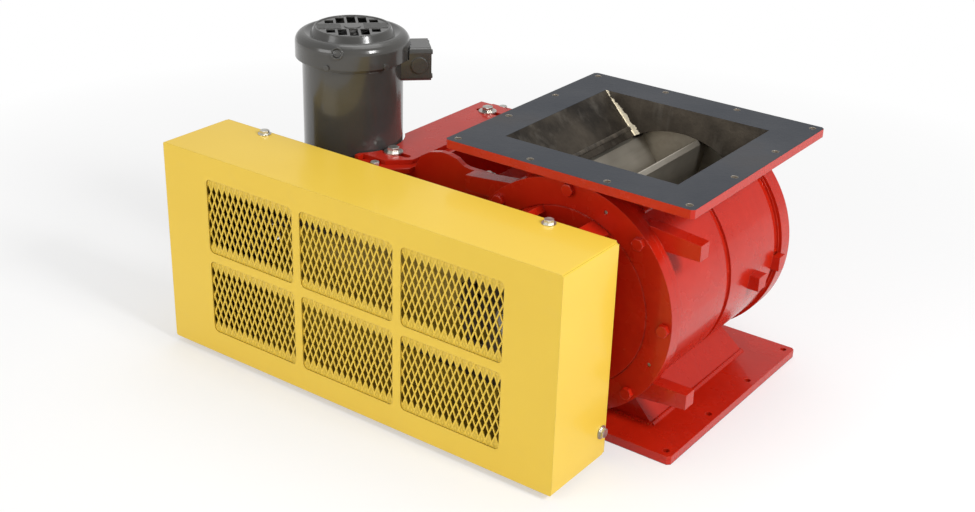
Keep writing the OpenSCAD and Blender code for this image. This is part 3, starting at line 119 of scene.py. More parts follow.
class Finish:
    """A material under construction: its nodes, its shader and the place on the object."""

    def __init__(self, name, **fixed):
        self.material = bpy.data.materials.new(name)
        self.material.use_nodes = True
        self.tree = self.material.node_tree
        self.shader = self.tree.nodes["Principled BSDF"]
        for socket, value in fixed.items():
            self.shader.inputs[socket.replace("_", " ")].default_value = value
        self.place = self.add("TexCoord", output="Object")
        split = self.add("SeparateXYZ", {}, {0: self.place}, output=None)
        self.x, self.y, self.z = (Wire(self, split.outputs[i]) for i in range(3))
        self.rounded = None

    def edges(self, radius):
        """Soften the sharp edges by a radius, and tell where they are, from 0 to 1."""
        self.rounded = self.add("Bevel", {"samples": 5}, {"Radius": radius})
        facing = self.add("NewGeometry", output="Normal")
        same = self.add("VectorMath", {"operation": "DOT_PRODUCT"},
                        {0: self.rounded, 1: facing}, output="Value")
        return (1 - same).ramp(0.015, 0.12)

    def add(self, kind, settings=None, sockets=None, output=0):
        node = self.tree.nodes.new("ShaderNode" + kind)
        for name, value in (settings or {}).items():
            setattr(node, name, value)
        for key, value in (sockets or {}).items():
            if isinstance(value, Wire):
                self.tree.links.new(value.socket, node.inputs[key])
            else:
                node.inputs[key].default_value = value
        return node if output is None else Wire(self, node.outputs[output])

    def noise(self, scale, detail=3, place=None, rough=0.5):
        return self.add("TexNoise", {}, {"Vector": place or self.place, "Scale": scale,
                                         "Detail": detail, "Roughness": rough})

    def stretched(self, x, y, z):
        return self.add("Mapping", {}, {"Vector": self.place, "Scale": (x, y, z)})

    def mix(self, factor, a, b):
        a, b = [(*c, 1) if isinstance(c, tuple) else c for c in (a, b)]
        return self.add("Mix", {"data_type": "RGBA"}, {0: factor, 6: a, 7: b}, output=2)

    def bump(self, height, depth, strength=1.0, under=None):
        sockets = {"Height": height, "Distance": depth, "Strength": strength}
        if under or self.rounded:
            sockets["Normal"] = under or self.rounded
        return self.add("Bump", {}, sockets)

    def to(self, **wires):
        for socket, wire in wires.items():
            self.tree.links.new(wire.socket, self.shader.inputs[socket.replace("_", " ")])

    def on(self, *names):
        for name in names:
            mesh = nodes[name].data
            mesh.materials.clear()
            mesh.materials.append(self.material)


# Studio: a broad key light from the right, softer ones from the left and above, and an
# even pale room. The pale floor glows less near the object, so that it keeps the shadow,
# and fades to plain white further out.
floor_colour = (0.92, 0.92, 0.92, 1)
floor_middle = (-0.23, -0.07)
shadow_fade = (0.3, 3.2)
white_near = 0.42
bpy.ops.object.select_all(action="DESELECT")
bpy.ops.mesh.primitive_plane_add(size=24, location=(0, 0, -0.0005))
floor = bpy.context.object
floor.name = "studio_floor"
floor_finish = Finish("floor_paper", Roughness=0.9, Specular_IOR_Level=0.1)
floor_finish.shader.inputs["Base Color"].default_value = floor_colour
seen = floor_finish.add("LightPath", output=None)
direct = Wire(floor_finish, seen.outputs["Is Camera Ray"]).most(
    Wire(floor_finish, seen.outputs["Is Glossy Ray"])).most(
    Wire(floor_finish, seen.outputs["Is Transmission Ray"]))
off_x = floor_finish.x - floor_middle[0]
off_y = floor_finish.y - floor_middle[1]
outlying = (off_x * off_x + off_y * off_y).ramp(*shadow_fade)
direct = direct * (white_near + outlying * (1 - white_near))
glow = floor_finish.add("Emission", {}, {"Color": (1, 1, 1, 1), "Strength": 1.0})
floor_mix = floor_finish.add("MixShader", {}, {0: direct, 2: glow}, output=None)
floor_finish.tree.links.new(floor_finish.shader.outputs[0], floor_mix.inputs[1])
floor_finish.tree.links.new(floor_mix.outputs[0],
                            floor_finish.tree.nodes["Material Output"].inputs[0])
floor.data.materials.append(floor_finish.material)

lamp_aim = Vector((-0.2, -0.1, 0.2))
for lamp_name, lamp_place, lamp_size, lamp_power in (
        ("key_light", (2.5, -0.5, 2.3), 0.8, 74),
        ("front_light", (-1.2, -3.2, 1.5), 2.0, 40),
        ("top_light", (-0.6, 0.7, 3.1), 2.0, 26)):
    lamp_data = bpy.data.lights.new(lamp_name, "AREA")
    lamp_data.size = lamp_size
    lamp_data.energy = lamp_power
    lamp = bpy.data.objects.new(lamp_name, lamp_data)
    bpy.context.scene.collection.objects.link(lamp)
    lamp.location = lamp_place
    lamp.rotation_euler = (lamp_aim - lamp.location).to_track_quat("-Z", "Y").to_euler()

room_light = 0.40
room_shine = 0.45
room = bpy.data.worlds.new("studio_room")
bpy.context.scene.world = room
room.use_nodes = True
room_nodes = room.node_tree.nodes
room_path = room_nodes.new("ShaderNodeLightPath")
room_seen = room_nodes.new("ShaderNodeMath")
room_seen.operation = "MAXIMUM"
room.node_tree.links.new(room_path.outputs["Is Camera Ray"], room_seen.inputs[0])
room.node_tree.links.new(room_path.outputs["Is Transmission Ray"], room_seen.inputs[1])
room_shiny = room_nodes.new("ShaderNodeMath")
room_shiny.operation = "MULTIPLY_ADD"
room_shiny.inputs[1].default_value = room_shine
room.node_tree.links.new(room_path.outputs["Is Glossy Ray"], room_shiny.inputs[0])
room.node_tree.links.new(room_seen.outputs[0], room_shiny.inputs[2])
room_level = room_nodes.new("ShaderNodeMath")
room_level.operation = "MULTIPLY_ADD"
room_level.inputs[1].default_value = 1 - room_light
room_level.inputs[2].default_value = room_light
room.node_tree.links.new(room_shiny.outputs[0], room_level.inputs[0])
room_glow = room_nodes["Background"]
room.node_tree.links.new(room_level.outputs[0], room_glow.inputs["Strength"])
room_glow.inputs["Color"].default_value = (1, 1, 1, 1)

# Housing: a welded and cast steel body in red enamel. The flange faces, the flared
# throats and the bore are machined and left bare, so they show dark oiled steel, with
# painted shade making the throats and the bore darker still.
red = (0.510, 0.016, 0.004)
# Painted light: a shaded and a lit copy of the red for patches, and a lighter red for a
# highlight along corners.
shaded_patch_red = (0.330, 0.007, 0.002)
lit_patch_red = (0.62, 0.030, 0.008)
edge_highlight_red = (0.78, 0.110, 0.060)
chipped_steel = (0.16, 0.14, 0.13)
enamel_coat = 0.24


def red_enamel(name, grain):
    """Sprayed enamel: flow, orange peel and cast grain, chipped at corners, with painted
    highlight along corners and painted shade and highlight in patches.
    """
    paint = Finish(name, Coat_Roughness=0.04, Specular_IOR_Level=0.2,
                   Coat_Weight=enamel_coat)
    edge = paint.edges(0.0014)
    patches = paint.noise(9, 4)
    flow = paint.noise(34, 3)
    peel = paint.noise(420, 2)
    cast = paint.noise(150, 4, rough=0.6)
    chips = paint.noise(95, 5, rough=0.7)
    # Painted shade and painted highlight in random patches, from darker and lighter copies
    # of the red.
    tone = paint.mix(patches.ramp(0.3, 0.75) * 0.35, red, shaded_patch_red)
    tone = paint.mix(flow.ramp(0.45, 0.8) * 0.25, tone, lit_patch_red)
    # Painted highlight along the corners, broken up by the flow noise.
    tone = paint.mix(edge * flow.ramp(0.35, 0.7) * 0.55, tone, edge_highlight_red)
    paint.tone = paint.mix(edge * chips.ramp(0.62, 0.70) * 0.8, tone, chipped_steel)
    paint.sheen = 0.20 + patches * 0.09 + flow * 0.05
    paint.relief = paint.bump(peel, 0.00012, 0.6, paint.bump(cast, grain, 0.7,
                              paint.bump(flow, 0.0012, 0.35)))
    return paint


axis_height = 0.22
flange_face = 0.4396
hole_depth = 0.0151
hole_radius = 0.0059
hole_middle = 0.142
hole_offset = 0.071
bore_radius = 0.1774
bore_reach = 0.1885
throat_foot = 0.1536
throat_half_width = 0.0890
throat_half_length = 0.1452
side_flare = 1.0994
end_flare = 0.1506
throat_mouth = 0.080
body_paint = red_enamel("body_enamel", 0.0004)
# The housing is bare on both flange faces and in the holes, the throats and the bore.
above = body_paint.z - axis_height
rise = abs(above)
flared = rise - throat_foot
throat_wall = throat_half_width + flared * side_flare
throat_end = throat_half_length + flared * end_flare
flange_top = body_paint.z > flange_face
flange_under = body_paint.z < 2 * axis_height - flange_face
in_throat = (abs(body_paint.x) < throat_wall + 0.002) * (rise > throat_mouth) * (
    abs(body_paint.y) < throat_end + 0.003)
from_axis = body_paint.x * body_paint.x + above * above
in_bore = (from_axis < bore_radius * bore_radius) * (abs(body_paint.y) < bore_reach)
face = (flange_top + flange_under) > 0.5
from_hole_x = abs(abs(body_paint.x) - hole_middle) - hole_offset
from_hole_y = abs(abs(body_paint.y) - hole_middle) - hole_offset
from_hole = from_hole_x * from_hole_x + from_hole_y * from_hole_y
in_hole = (from_hole < hole_radius * hole_radius) * (
    body_paint.z > flange_face - hole_depth)
bare = (face + in_throat + in_bore + in_hole) > 0.5
# The flange faces are blue-grey machined steel with brown stains and long tool streaks.
blue_steel = (0.036, 0.042, 0.054)
grey_steel = (0.066, 0.070, 0.080)
stained_steel = (0.066, 0.052, 0.042)
rubbed_steel = (0.100, 0.104, 0.112)
face_streak = body_paint.noise(70, 5, body_paint.stretched(1.0, 9.0, 1.0))
face_cloud = body_paint.noise(6, 5)
face_tone = body_paint.mix(face_cloud.ramp(0.3, 0.7), blue_steel, grey_steel)
face_rust = body_paint.noise(3.1, 4, rough=0.6)
face_tone = body_paint.mix(face_rust.ramp(0.52, 0.68) * 0.6, face_tone, stained_steel)
face_tone = body_paint.mix(face_streak.ramp(0.45, 0.8) * 0.45, face_tone, rubbed_steel)
# The throats and the bore are brown oiled steel with painted shade, and a bright
# painted highlight runs down one corner.
# Painted shade: very dark oiled-steel tones for the throats and the bore.
shaded_dark_oil = (0.024, 0.020, 0.016)
shaded_thin_oil = (0.086, 0.071, 0.054)
slid_steel = (0.20, 0.18, 0.15)
# A near-white tone for the painted highlight in one throat corner.
corner_highlight = (0.95, 0.86, 0.66)
drilled_steel = (0.40, 0.36, 0.30)
glint_least = 0.0065
glint_top = 0.222
glint_spread = 0.17
glint_ragged = 0.034
glint_rim = 0.0015
throat_cloud = body_paint.noise(11, 6, rough=0.62)
# Painted shade: the throats and the bore get oiled-steel tones much darker than the steel.
throat_tone = body_paint.mix(throat_cloud.ramp(0.35, 0.68), shaded_dark_oil, shaded_thin_oil)
slide = body_paint.noise(34, 6, body_paint.stretched(1.0, 1.0, 0.10), 0.6)
jagged = body_paint.noise(55, 5, rough=0.65)
# Painted highlight: a near-white streak down the corner of the left and rear throat walls,
# wider nearer the axis.
from_corner = abs(body_paint.x + throat_wall) + 5 * abs(body_paint.y - throat_end)
glint_reach = glint_least + (glint_top - rise) * glint_spread + (jagged - 0.5) * glint_ragged
corner_glint = (1 - from_corner.ramp(glint_reach - glint_rim, glint_reach)) * (
    slide.ramp(0.30, 0.46) * 0.6 + 0.4)
throat_tone = body_paint.mix(slide.ramp(0.52, 0.70) * 0.30, throat_tone, slid_steel)
throat_tone = body_paint.mix(corner_glint, throat_tone, corner_highlight)
metal_tone = body_paint.mix(face, throat_tone, face_tone)
metal_tone = body_paint.mix(in_hole, metal_tone, drilled_steel)
body_paint.to(
    Base_Color=body_paint.mix(bare, body_paint.tone, metal_tone),
    Roughness=body_paint.sheen * (1 - bare) + bare * (0.34 + face_streak * 0.22),
    Metallic=bare * (0.75 - corner_glint * 0.65),
    Coat_Weight=(1 - bare) * enamel_coat,
    Normal=body_paint.relief)
body_paint.on("housing")

# Weld seams: the flared throats are welded to the barrel and to the flanges. Each run is
# a rippled bead, modelled once and laid along its seam, painted outside and bare inside.
bead_ripples = 54
bead_pinch = 0.88
bpy.ops.object.select_all(action="DESELECT")
bpy.ops.mesh.primitive_circle_add(vertices=10, radius=1, fill_type="NGON")
weld_bead = bpy.context.object
bpy.ops.object.mode_set(mode="EDIT")
for _ in range(bead_ripples):
    for swell in (bead_pinch, 1 / bead_pinch):
        bpy.ops.mesh.extrude_region_move(
            TRANSFORM_OT_translate={"value": (0, 0, 0.5 / bead_ripples)})
        bpy.ops.transform.resize(value=(swell, swell, 1))
bpy.ops.mesh.select_all(action="SELECT")
bpy.ops.mesh.normals_make_consistent(inside=False)
bpy.ops.object.mode_set(mode="OBJECT")
bpy.ops.object.shade_smooth_by_angle(angle=math.radians(60))


def plain_red(name, grain):
    """Red enamel all over, with no bare faces."""
    paint = red_enamel(name, grain)
    paint.to(Base_Color=paint.tone, Roughness=paint.sheen, Normal=paint.relief)
    return paint


weld_paint = plain_red("weld_enamel", 0.0005)
burnt_steel = (0.045, 0.038, 0.032)
bead_steel = (0.130, 0.110, 0.085)
weld_steel = Finish("weld_steel", Metallic=0.8)
weld_heat = weld_steel.noise(60, 4)
weld_steel.to(Base_Color=weld_steel.mix(weld_heat.ramp(0.3, 0.7), burnt_steel, bead_steel),
              Roughness=0.38 + weld_heat * 0.25,
              Normal=weld_steel.bump(weld_heat, 0.0004, 0.6))


def joined_copies(model, places, finish):
    """Lay a copy of the model at each place, join them and give them their finish."""
    bpy.ops.object.select_all(action="DESELECT")
    for place in places:
        copy = model.copy()
        copy.data = model.data.copy()
        bpy.context.scene.collection.objects.link(copy)
        copy.data.transform(place)
        copy.select_set(True)
        bpy.context.view_layer.objects.active = copy
    bpy.ops.object.join()
    joined = bpy.context.object
    joined.data.materials.clear()
    joined.data.materials.append(finish.material)
    return joined


def bead_place(start, end, out, width, height):
    """The place of a bead that runs from start to end and stands out one way."""
    along = Vector(end) - Vector(start)
    out = Vector(out).normalized()
    side = out.cross(along).normalized()
    return Matrix.Translation(start) @ Matrix(
        (side * width / 2, out * height, along)).transposed().to_4x4()


def side_beads(x, above_axis, reach, out, width, height):
    """Four beads along y, on both sides above and below the axis."""
    return [bead_place((side * x, -reach, axis_height + up * above_axis),
                       (side * x, reach, axis_height + up * above_axis),
                       (side * out[0], 0, up * out[1]), width, height)
            for up in (-1, 1) for side in (-1, 1)]


def end_beads(y, above_axis, reach, out, width, height):
    """Four beads along x, at both ends above and below the axis."""
    return [bead_place((-reach, end * y, axis_height + up * above_axis),
                       (reach, end * y, axis_height + up * above_axis),
                       (0, end * out[0], up * out[1]), width, height)
            for up in (-1, 1) for end in (-1, 1)]


inner_beads = side_beads(x=0.0998, above_axis=0.1643, reach=0.1455,
                         out=(-0.673, 0.740), width=0.0092, height=0.0010)
outer_beads = side_beads(x=0.1084, above_axis=0.1611, reach=0.1600,
                         out=(1, 0.073), width=0.0090, height=0.0032)
flange_beads = side_beads(x=0.1566, above_axis=0.2048, reach=0.1600,
                          out=(1, -1), width=0.0110, height=0.0036)
flange_beads += end_beads(y=0.1612, above_axis=0.2048, reach=0.1560,
                          out=(1, -1), width=0.0110, height=0.0036)
for seam_name, beads, seam_finish in (("throat_inner_welds", inner_beads, weld_steel),
                                      ("throat_outer_welds", outer_beads, weld_paint),
                                      ("flange_welds", flange_beads, weld_paint)):
    seam = joined_copies(weld_bead, beads, seam_finish)
    seam.name = seam_name
    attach(seam, "valve")
bpy.data.objects.remove(weld_bead)

# End plates: turned steel covers with a line cut round their face, a stuffing box and
# four legs welded to a bearing plate, all in the same red enamel as their bolts.
plain_red("end_plate_enamel", 0.0001).on(
    "front_end_plate", "rear_end_plate", "front_end_bolts", "rear_end_bolts")

# Jack screws: a socket set screw waits in each threaded hole of the two end plates, to
# push the plate off the housing. They are zinc plated and stand a little below the face.
jack_circle = 0.179
jack_turn = math.radians(67.5)
jack_start = 0.1928
screw_radius = 0.0033
screw_length = 0.012
screw_chamfer = 0.0004
socket_rim = 0.0011
socket_depth = 0.0030
bpy.ops.object.select_all(action="DESELECT")
bpy.ops.mesh.primitive_circle_add(vertices=18, radius=screw_radius, fill_type="NGON",
                                  rotation=(math.pi / 2, 0, 0))
jack_screw = bpy.context.object
bpy.ops.object.transform_apply(rotation=True)
bpy.ops.object.mode_set(mode="EDIT")
bpy.ops.mesh.extrude_region_move(TRANSFORM_OT_translate={"value": (0, -screw_length, 0)})
bpy.ops.mesh.inset(thickness=screw_chamfer)
bpy.ops.transform.translate(value=(0, -screw_chamfer, 0))
bpy.ops.mesh.inset(thickness=socket_rim)
bpy.ops.mesh.extrude_region_move(TRANSFORM_OT_translate={"value": (0, socket_depth, 0)})
bpy.ops.mesh.select_all(action="SELECT")
bpy.ops.mesh.normals_make_consistent(inside=False)
bpy.ops.object.mode_set(mode="OBJECT")
screw_shade, screw_bright = (0.40, 0.38, 0.34), (0.66, 0.64, 0.58)
screw_zinc = Finish("set_screw_zinc", Metallic=1.0)
screw_bloom = screw_zinc.noise(300, 3)
screw_zinc.to(Base_Color=screw_zinc.mix(screw_bloom.ramp(0.3, 0.7), screw_shade,
                                        screw_bright),
              Roughness=0.26 + screw_bloom * 0.2,
              Normal=screw_zinc.bump(screw_bloom, 0.0001, 0.5))
for end_name, end_turn in (("front", 0), ("rear", math.pi)):
    jack_turns = [jack_turn + quarter * math.pi / 2 for quarter in range(4)]
    screws = joined_copies(jack_screw, [
        Matrix.Translation((jack_circle * math.cos(turn), 0,
                            axis_height + jack_circle * math.sin(turn)))
        @ Matrix.Rotation(end_turn, 4, "Z") @ Matrix.Translation((0, -jack_start, 0))
        for turn in jack_turns], screw_zinc)
    screws.name = end_name + "_jack_screws"
    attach(screws, "valve")
bpy.data.objects.remove(jack_screw)

# Drive bracket and motor base: laser-cut steel plate, bent and welded, in red enamel. The
# bracket is bolted to both ends of the valve, and the base slides on it to set the chain.
plain_red("bracket_enamel", 0.00005).on("drive_bracket", "motor_base")

# Packing: rings of braided fibre round the rotor's shaft, pressed into the stuffing box
# at each end by its gland.
fibre_shade, fibre_light = (0.36, 0.31, 0.22), (0.66, 0.60, 0.46)
braid = Finish("packing_braid", Roughness=0.85)
strands = braid.add("TexWave", {"wave_type": "BANDS", "bands_direction": "DIAGONAL"},
                    {"Vector": braid.place, "Scale": 160, "Distortion": 3}, output="Fac")
braid.to(Base_Color=braid.mix(strands, fibre_shade, fibre_light),
         Normal=braid.bump(strands, 0.0006))
braid.on("front_packing", "rear_packing")

# Glands and bearings: sand-cast iron under a thin coat of grey paint. The glands hang on
# their studs, and the bearings are bolted to the bearing plates.
casting_grey = (0.075, 0.095, 0.110)
casting_light = (0.120, 0.145, 0.160)
cast_iron = Finish("bearing_casting", Coat_Roughness=0.2, Coat_Weight=0.15)
cast_cloud = cast_iron.noise(14, 4)
cast_sand = cast_iron.noise(260, 3, rough=0.65)
cast_iron.to(
    Base_Color=cast_iron.mix(cast_cloud.ramp(0.3, 0.7), casting_grey, casting_light),
    Roughness=0.42 + cast_sand * 0.18, Normal=cast_iron.bump(cast_sand, 0.00025, 0.7))
cast_iron.on("front_bearing", "rear_bearing", "rear_bearing_cap", "front_gland",
             "rear_gland")

# Fasteners: zinc-plated bolts, studs and spacers, bright with a faint yellow bloom. The
# grease fittings are turned brass with the same fine scratches.
zinc_shade, zinc_bright = (0.42, 0.41, 0.38), (0.70, 0.69, 0.64)
brass_shade, brass_bright = (0.50, 0.33, 0.10), (0.78, 0.58, 0.24)


def bright_metal(name, dark, light, rough):
    """Bare or plated metal with a cloudy bloom and fine scratches round its turnings."""
    metal = Finish(name, Metallic=1.0)
    bloom = metal.noise(60, 4)
    scratch = metal.noise(500, 2, metal.stretched(1, 4, 1))
    metal.to(Base_Color=metal.mix(bloom.ramp(0.3, 0.7), dark, light),
             Roughness=rough + bloom * 0.2, Normal=metal.bump(scratch, 0.00004, 0.5))
    return metal


bright_metal("zinc_plate", zinc_shade, zinc_bright, 0.24).on(
    "front_gland_studs", "rear_gland_studs", "bearing_bolts", "guard_bolts",
    "guard_spacers", "guard_spacer_bolts", "bracket_bolts", "motor_base_bolts",
    "reducer_bolts", "reducer_cover_screws", "reducer_plugs", "motor_bolts")
bright_metal("brass_fitting", brass_shade, brass_bright, 0.3).on("grease_fittings")

# Rotor: vanes of mild steel plate between closed ends, welded together. Product polishes
# them to a dull tan with darker streaks.
dull_tan = (0.34, 0.31, 0.26)
rubbed_tan = (0.52, 0.48, 0.41)
dark_streak = (0.24, 0.20, 0.15)
vane_steel = Finish("vane_steel", Metallic=0.85)
vane_cloud = vane_steel.noise(7, 5)
vane_streak = vane_steel.noise(26, 5, vane_steel.stretched(3, 0.35, 3))
vane_tone = vane_steel.mix(vane_cloud.ramp(0.3, 0.7), dull_tan, rubbed_tan)
vane_steel.to(Base_Color=vane_steel.mix(vane_streak.ramp(0.5, 0.85) * 0.45, vane_tone,
                                        dark_streak),
              Roughness=0.34 + vane_cloud * 0.25,
              Normal=vane_steel.bump(vane_streak, 0.0003, 0.5))
vane_steel.on("rotor")

# Shafts, rings, bushing, key and worm: ground and turned steel with fine tool marks,
# under a thin film of oil.
clean_steel = (0.52, 0.51, 0.49)
oily_steel = (0.30, 0.29, 0.27)
turned = Finish("turned_steel", Metallic=1.0)
tool_marks = turned.noise(900, 2, turned.stretched(0.05, 1, 0.05))
oil = turned.noise(30, 4)
turned.to(Base_Color=turned.mix(oil.ramp(0.35, 0.75), clean_steel, oily_steel),
          Roughness=0.2 + oil * 0.22, Normal=turned.bump(tool_marks, 0.00003, 0.5))
turned.on("rotor_shaft", "bearing_inner_rings", "sprocket_bushing", "sprocket_key",
          "output_shaft", "motor_shaft", "worm")

# Chain and sprockets: a roller chain of pressed plates, pins and rollers, on two cut
# sprockets, all of hardened steel under brown oil and grime.
oiled_brown = (0.105, 0.080, 0.055)
grimy_black = (0.036, 0.027, 0.020)
chain_steel = Finish("oiled_chain_steel", Metallic=0.9)
grime = chain_steel.noise(45, 5)
chain_steel.to(Base_Color=chain_steel.mix(grime.ramp(0.35, 0.7), oiled_brown, grimy_black),
               Roughness=0.28 + grime * 0.3, Normal=chain_steel.bump(grime, 0.0002, 0.5))
chain_steel.on("roller_chain", "driven_sprocket", "drive_sprocket")

# Guard: a folded sheet-steel cover over a back plate, in smooth yellow enamel. Inside it
# the enamel is painted an uneven dark brown, as painted shade.
yellow = (0.820, 0.560, 0.058)
deep_yellow = (0.76, 0.50, 0.045)
# A lighter yellow for a painted highlight along edges.
edge_highlight_yellow = (0.93, 0.72, 0.14)
dusty_yellow = (0.66, 0.47, 0.13)
# A dark brown for painted shade inside the guard.
inside_shade_brown = (0.190, 0.115, 0.012)


def yellow_enamel(name, corner=0.0022):
    """Smooth enamel on folded sheet: gentle waves, fine peel, dust and a painted highlight
    along the edges.
    """
    paint = Finish(name, Coat_Roughness=0.10, Specular_IOR_Level=0.25, Coat_Weight=0.18)
    edge = paint.edges(corner)
    patches = paint.noise(5, 3)
    peel = paint.noise(380, 2)
    waves = paint.noise(7, 2)
    dust = paint.noise(30, 5)
    tone = paint.mix(patches.ramp(0.3, 0.75) * 0.4, yellow, deep_yellow)
    # Painted highlight along the folded edges.
    tone = paint.mix(edge * 0.45, tone, edge_highlight_yellow)
    paint.tone = paint.mix(dust.ramp(0.6, 0.9) * 0.12, tone, dusty_yellow)
    paint.to(Roughness=0.27 + patches * 0.08 + dust * 0.05)
    paint.relief = paint.bump(peel, 0.00006, 0.6, paint.bump(waves, 0.0015, 0.25))
    return paint


guard_paint = yellow_enamel("guard_enamel")
guard_low, guard_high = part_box("guard_cover")
skin = 0.001
inside = (guard_paint.x > guard_low[0] + skin) * (guard_paint.x < guard_high[0] - skin) * (
    guard_paint.z > guard_low[2] + skin) * (guard_paint.z < guard_high[2] - skin) * (
    guard_paint.y > guard_low[1] + skin) * (guard_paint.y < guard_high[1] - skin / 2)
# Painted shade: faces inside the guard cover's box turn dark brown, unevenly.
inside_shade_cloud = guard_paint.noise(16, 4)
guard_paint.to(
    Base_Color=guard_paint.mix(inside * (0.45 + inside_shade_cloud * 0.45), guard_paint.tone,
                               inside_shade_brown),
    Normal=guard_paint.relief)
guard_paint.on("guard_cover", "guard_back_plate")

# Expanded metal: the strands stand up as rounded ridges between the staggered openings.
# There are three by two panes, and the pattern starts again in each of them.
pane_left, pane_foot = -0.5857, 0.0443
pane_pitch_x, pane_pitch_z = 0.210333, 0.152
opening_left, opening_foot = 0.009617, 0.02995
opening_pitch_x, opening_pitch_z = 0.0127, 0.0305
strand_relief = 0.0016
mesh_paint = yellow_enamel("mesh_enamel", 0.0003)
across = ((mesh_paint.x - pane_left).math("MODULO", pane_pitch_x)
          - opening_left) / opening_pitch_x
upward = ((mesh_paint.z - pane_foot).math("MODULO", pane_pitch_z)
          - opening_foot) / opening_pitch_z
ridge = ((across + upward) * math.tau).math("COSINE").least(
    ((across - upward) * math.tau).math("COSINE")) * -1
mesh_paint.to(Base_Color=mesh_paint.tone,
              Normal=mesh_paint.bump(ridge, strand_relief, 1.0, mesh_paint.relief))
mesh_paint.on("guard_mesh")

# Shaft shield: an oval steel plate with a raised lip round the drive shaft. It closes the
# slot in the guard's back plate, moves with the motor base, and is enamelled yellow.
shield_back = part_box("guard_back_plate")[1][1]
shaft_low, shaft_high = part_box("output_shaft")
shaft_x = (shaft_low[0] + shaft_high[0]) / 2
shaft_z = (shaft_low[2] + shaft_high[2]) / 2
collar_radius = 0.0165
collar_proud = 0.0050
shield_steps = ((0.0, 1.18, 1.18), (-0.0036, 1.16, 1.16), (0.0, 3.20, 1.86))
shield_thickness = 0.0012
bpy.ops.object.select_all(action="DESELECT")
bpy.ops.mesh.primitive_circle_add(vertices=64, radius=collar_radius, fill_type="NOTHING",
                                  rotation=(math.pi / 2, 0, 0),
                                  location=(shaft_x, shield_back + collar_proud, shaft_z))
shaft_shield = bpy.context.object
shaft_shield.name = "shaft_shield"
bpy.ops.object.transform_apply(location=True, rotation=True)
bpy.ops.object.mode_set(mode="EDIT")
bpy.ops.mesh.select_all(action="SELECT")
for step_y, step_x, step_z in shield_steps:
    bpy.ops.mesh.extrude_edges_move(TRANSFORM_OT_translate={"value": (0, step_y, 0)})
    bpy.ops.transform.resize(value=(step_x, 1, step_z))
bpy.ops.mesh.select_all(action="SELECT")
bpy.ops.mesh.normals_make_consistent(inside=False)
bpy.ops.object.mode_set(mode="OBJECT")
shield_wall = shaft_shield.modifiers.new("wall", "SOLIDIFY")
shield_wall.thickness = shield_thickness
shield_wall.offset = 0
shield_edge = shaft_shield.modifiers.new("edge", "BEVEL")
shield_edge.width = 0.0003
shield_edge.segments = 2
for modifier_name in ("wall", "edge"):
    bpy.ops.object.modifier_apply(modifier=modifier_name)
bpy.ops.object.shade_smooth_by_angle(angle=math.radians(35))
shaft_shield.data.materials.append(guard_paint.material)
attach(shaft_shield, "valve")

# Motor and reducer: castings and rolled sheet steel under semi-gloss dark grey enamel.
# The castings show a coarse sand grain, and the motor's frame and fan cover are smooth.
motor_grey = (0.040, 0.039, 0.036)
pale_grey = (0.057, 0.055, 0.050)
# Painted light: a blue-grey for reflection streaks and a lighter grey for an edge
# highlight.
reflection_blue_grey = (0.060, 0.066, 0.076)
edge_highlight_grey = (0.13, 0.13, 0.125)


def motor_enamel(name, grain):
    """Grey enamel, cloudy, with painted blue-grey reflections in long streaks, over a sand
    grain, with a painted highlight at the edges.
    """
    paint = Finish(name, Coat_Roughness=0.05, Coat_Weight=0.35)
    edge = paint.edges(0.0016)
    cloud = paint.noise(10, 4)
    sand = paint.noise(240, 3, rough=0.6)
    tone = paint.mix(cloud.ramp(0.3, 0.7), motor_grey, pale_grey)
    # Painted reflections: long blue-grey streaks along the height.
    reflection_streak = paint.noise(9, 3, paint.stretched(1, 1, 0.25))
    tone = paint.mix(reflection_streak.ramp(0.55, 0.75) * 0.35, tone, reflection_blue_grey)
    # Painted highlight at the edges.
    paint.to(Base_Color=paint.mix(edge * 0.5, tone, edge_highlight_grey),
             Roughness=0.17 + cloud * 0.10, Normal=paint.bump(sand, grain, 0.6))
    return paint


motor_enamel("casting_enamel", 0.0004).on(
    "reducer_housing", "reducer_side_cover", "reducer_end_cap", "motor_face_bell",
    "motor_fan_bell", "conduit_box", "conduit_cover")
sheet_paint = motor_enamel("sheet_enamel", 0.00008)
sheet_paint.on("motor_frame", "fan_cover", "fan_cover_screws", "conduit_screws")

# Cover lug: a round pressed lug on the shoulder of the fan cover, with the head of the
# screw that holds the cover sunk in it. It is turned towards the guard.
cover_low, cover_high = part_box("fan_cover")
cover_radius = (cover_high[0] - cover_low[0]) / 2
lug_radius = 0.0110
lug_below_top = 0.0235
lug_sunk = 0.0062
lug_turn = math.atan2(-0.900, 0.436)
lug_tilt = math.radians(-20)
lug_steps = ((0.0065, 0.0010), (0.0006, 0.0018), (-0.0034, 0.0006),
             (0.0, 0.0012), (0.0016, 0.0008), (0.0006, 0.0014))
lug_recess = 0.0012
bpy.ops.object.select_all(action="DESELECT")
bpy.ops.mesh.primitive_circle_add(vertices=36, radius=lug_radius, fill_type="NGON",
                                  rotation=(0, math.pi / 2, 0))
cover_lug = bpy.context.object
cover_lug.name = "cover_lug"
bpy.ops.object.transform_apply(rotation=True)
bpy.ops.object.mode_set(mode="EDIT")
bpy.ops.mesh.select_all(action="SELECT")
for step_out, step_in in lug_steps:
    bpy.ops.mesh.extrude_region_move(TRANSFORM_OT_translate={"value": (step_out, 0, 0)})
    bpy.ops.mesh.inset(thickness=step_in)
bpy.ops.mesh.extrude_region_move(TRANSFORM_OT_translate={"value": (-lug_recess, 0, 0)})
bpy.ops.mesh.select_all(action="SELECT")
bpy.ops.mesh.normals_make_consistent(inside=False)
bpy.ops.object.mode_set(mode="OBJECT")
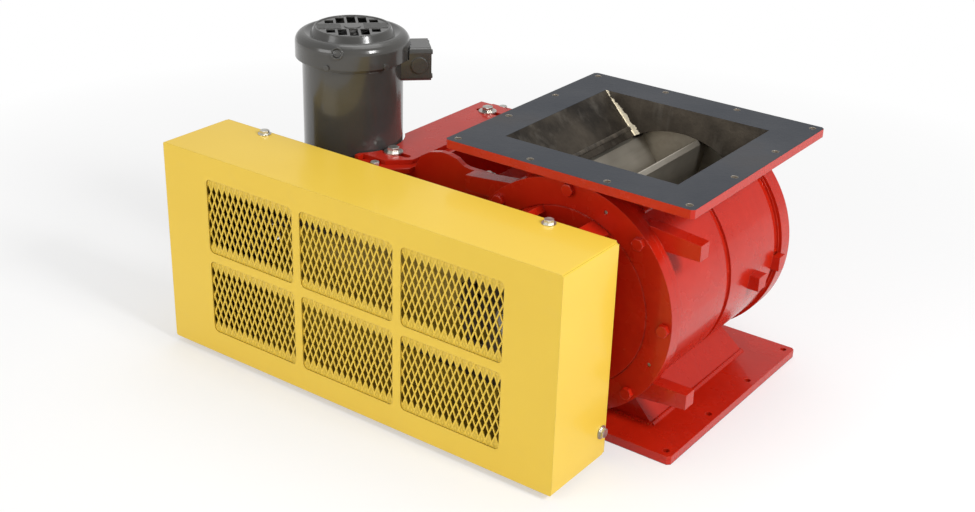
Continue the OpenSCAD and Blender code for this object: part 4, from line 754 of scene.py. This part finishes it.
bpy.ops.object.shade_smooth_by_angle(angle=math.radians(35))
cover_lug.data.transform(
    Matrix.Translation(((cover_low[0] + cover_high[0]) / 2,
                        (cover_low[1] + cover_high[1]) / 2, cover_high[2] - lug_below_top))
    @ Matrix.Rotation(lug_turn, 4, "Z")
    @ Matrix.Translation((cover_radius - lug_sunk, 0, 0))
    @ Matrix.Rotation(lug_tilt, 4, "Y"))
cover_lug.data.materials.append(sheet_paint.material)
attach(cover_lug, "valve")

# Inside the drive: a cast bronze worm wheel, a black nylon fan, a rubber lip seal round
# the output shaft, and stacks of thin steel sheets in the motor.
bronze_shade, bronze_bright = (0.42, 0.24, 0.08), (0.66, 0.42, 0.17)
bronze = Finish("wheel_bronze", Metallic=1.0)
bronze_cloud = bronze.noise(40, 4)
bronze.to(Base_Color=bronze.mix(bronze_cloud, bronze_shade, bronze_bright),
          Roughness=0.25 + bronze_cloud * 0.2)
bronze.on("worm_wheel")
nylon_black, nylon_worn = (0.018, 0.018, 0.018), (0.030, 0.030, 0.030)
nylon = Finish("fan_nylon")
nylon_grain = nylon.noise(300, 2)
nylon.to(Base_Color=nylon.mix(nylon_grain, nylon_black, nylon_worn),
         Roughness=0.5 + nylon_grain * 0.15)
nylon.on("cooling_fan")
rubber_black, rubber_worn = (0.012, 0.012, 0.012), (0.03, 0.03, 0.03)
rubber = Finish("seal_rubber")
rubber_grain = rubber.noise(200, 3)
rubber.to(Base_Color=rubber.mix(rubber_grain, rubber_black, rubber_worn),
          Roughness=0.6 + rubber_grain * 0.2)
rubber.on("output_seal")
sheet_gap, sheet_edge = (0.05, 0.05, 0.055), (0.16, 0.16, 0.165)
stack = Finish("lamination_stack", Metallic=0.7)
sheets = stack.add("TexWave", {"bands_direction": "Z"},
                   {"Vector": stack.place, "Scale": 300}, output="Fac")
stack.to(Base_Color=stack.mix(sheets, sheet_gap, sheet_edge),
         Roughness=0.4 + sheets * 0.2, Normal=stack.bump(sheets, 0.0002))
stack.on("motor_stator", "motor_rotor_core")
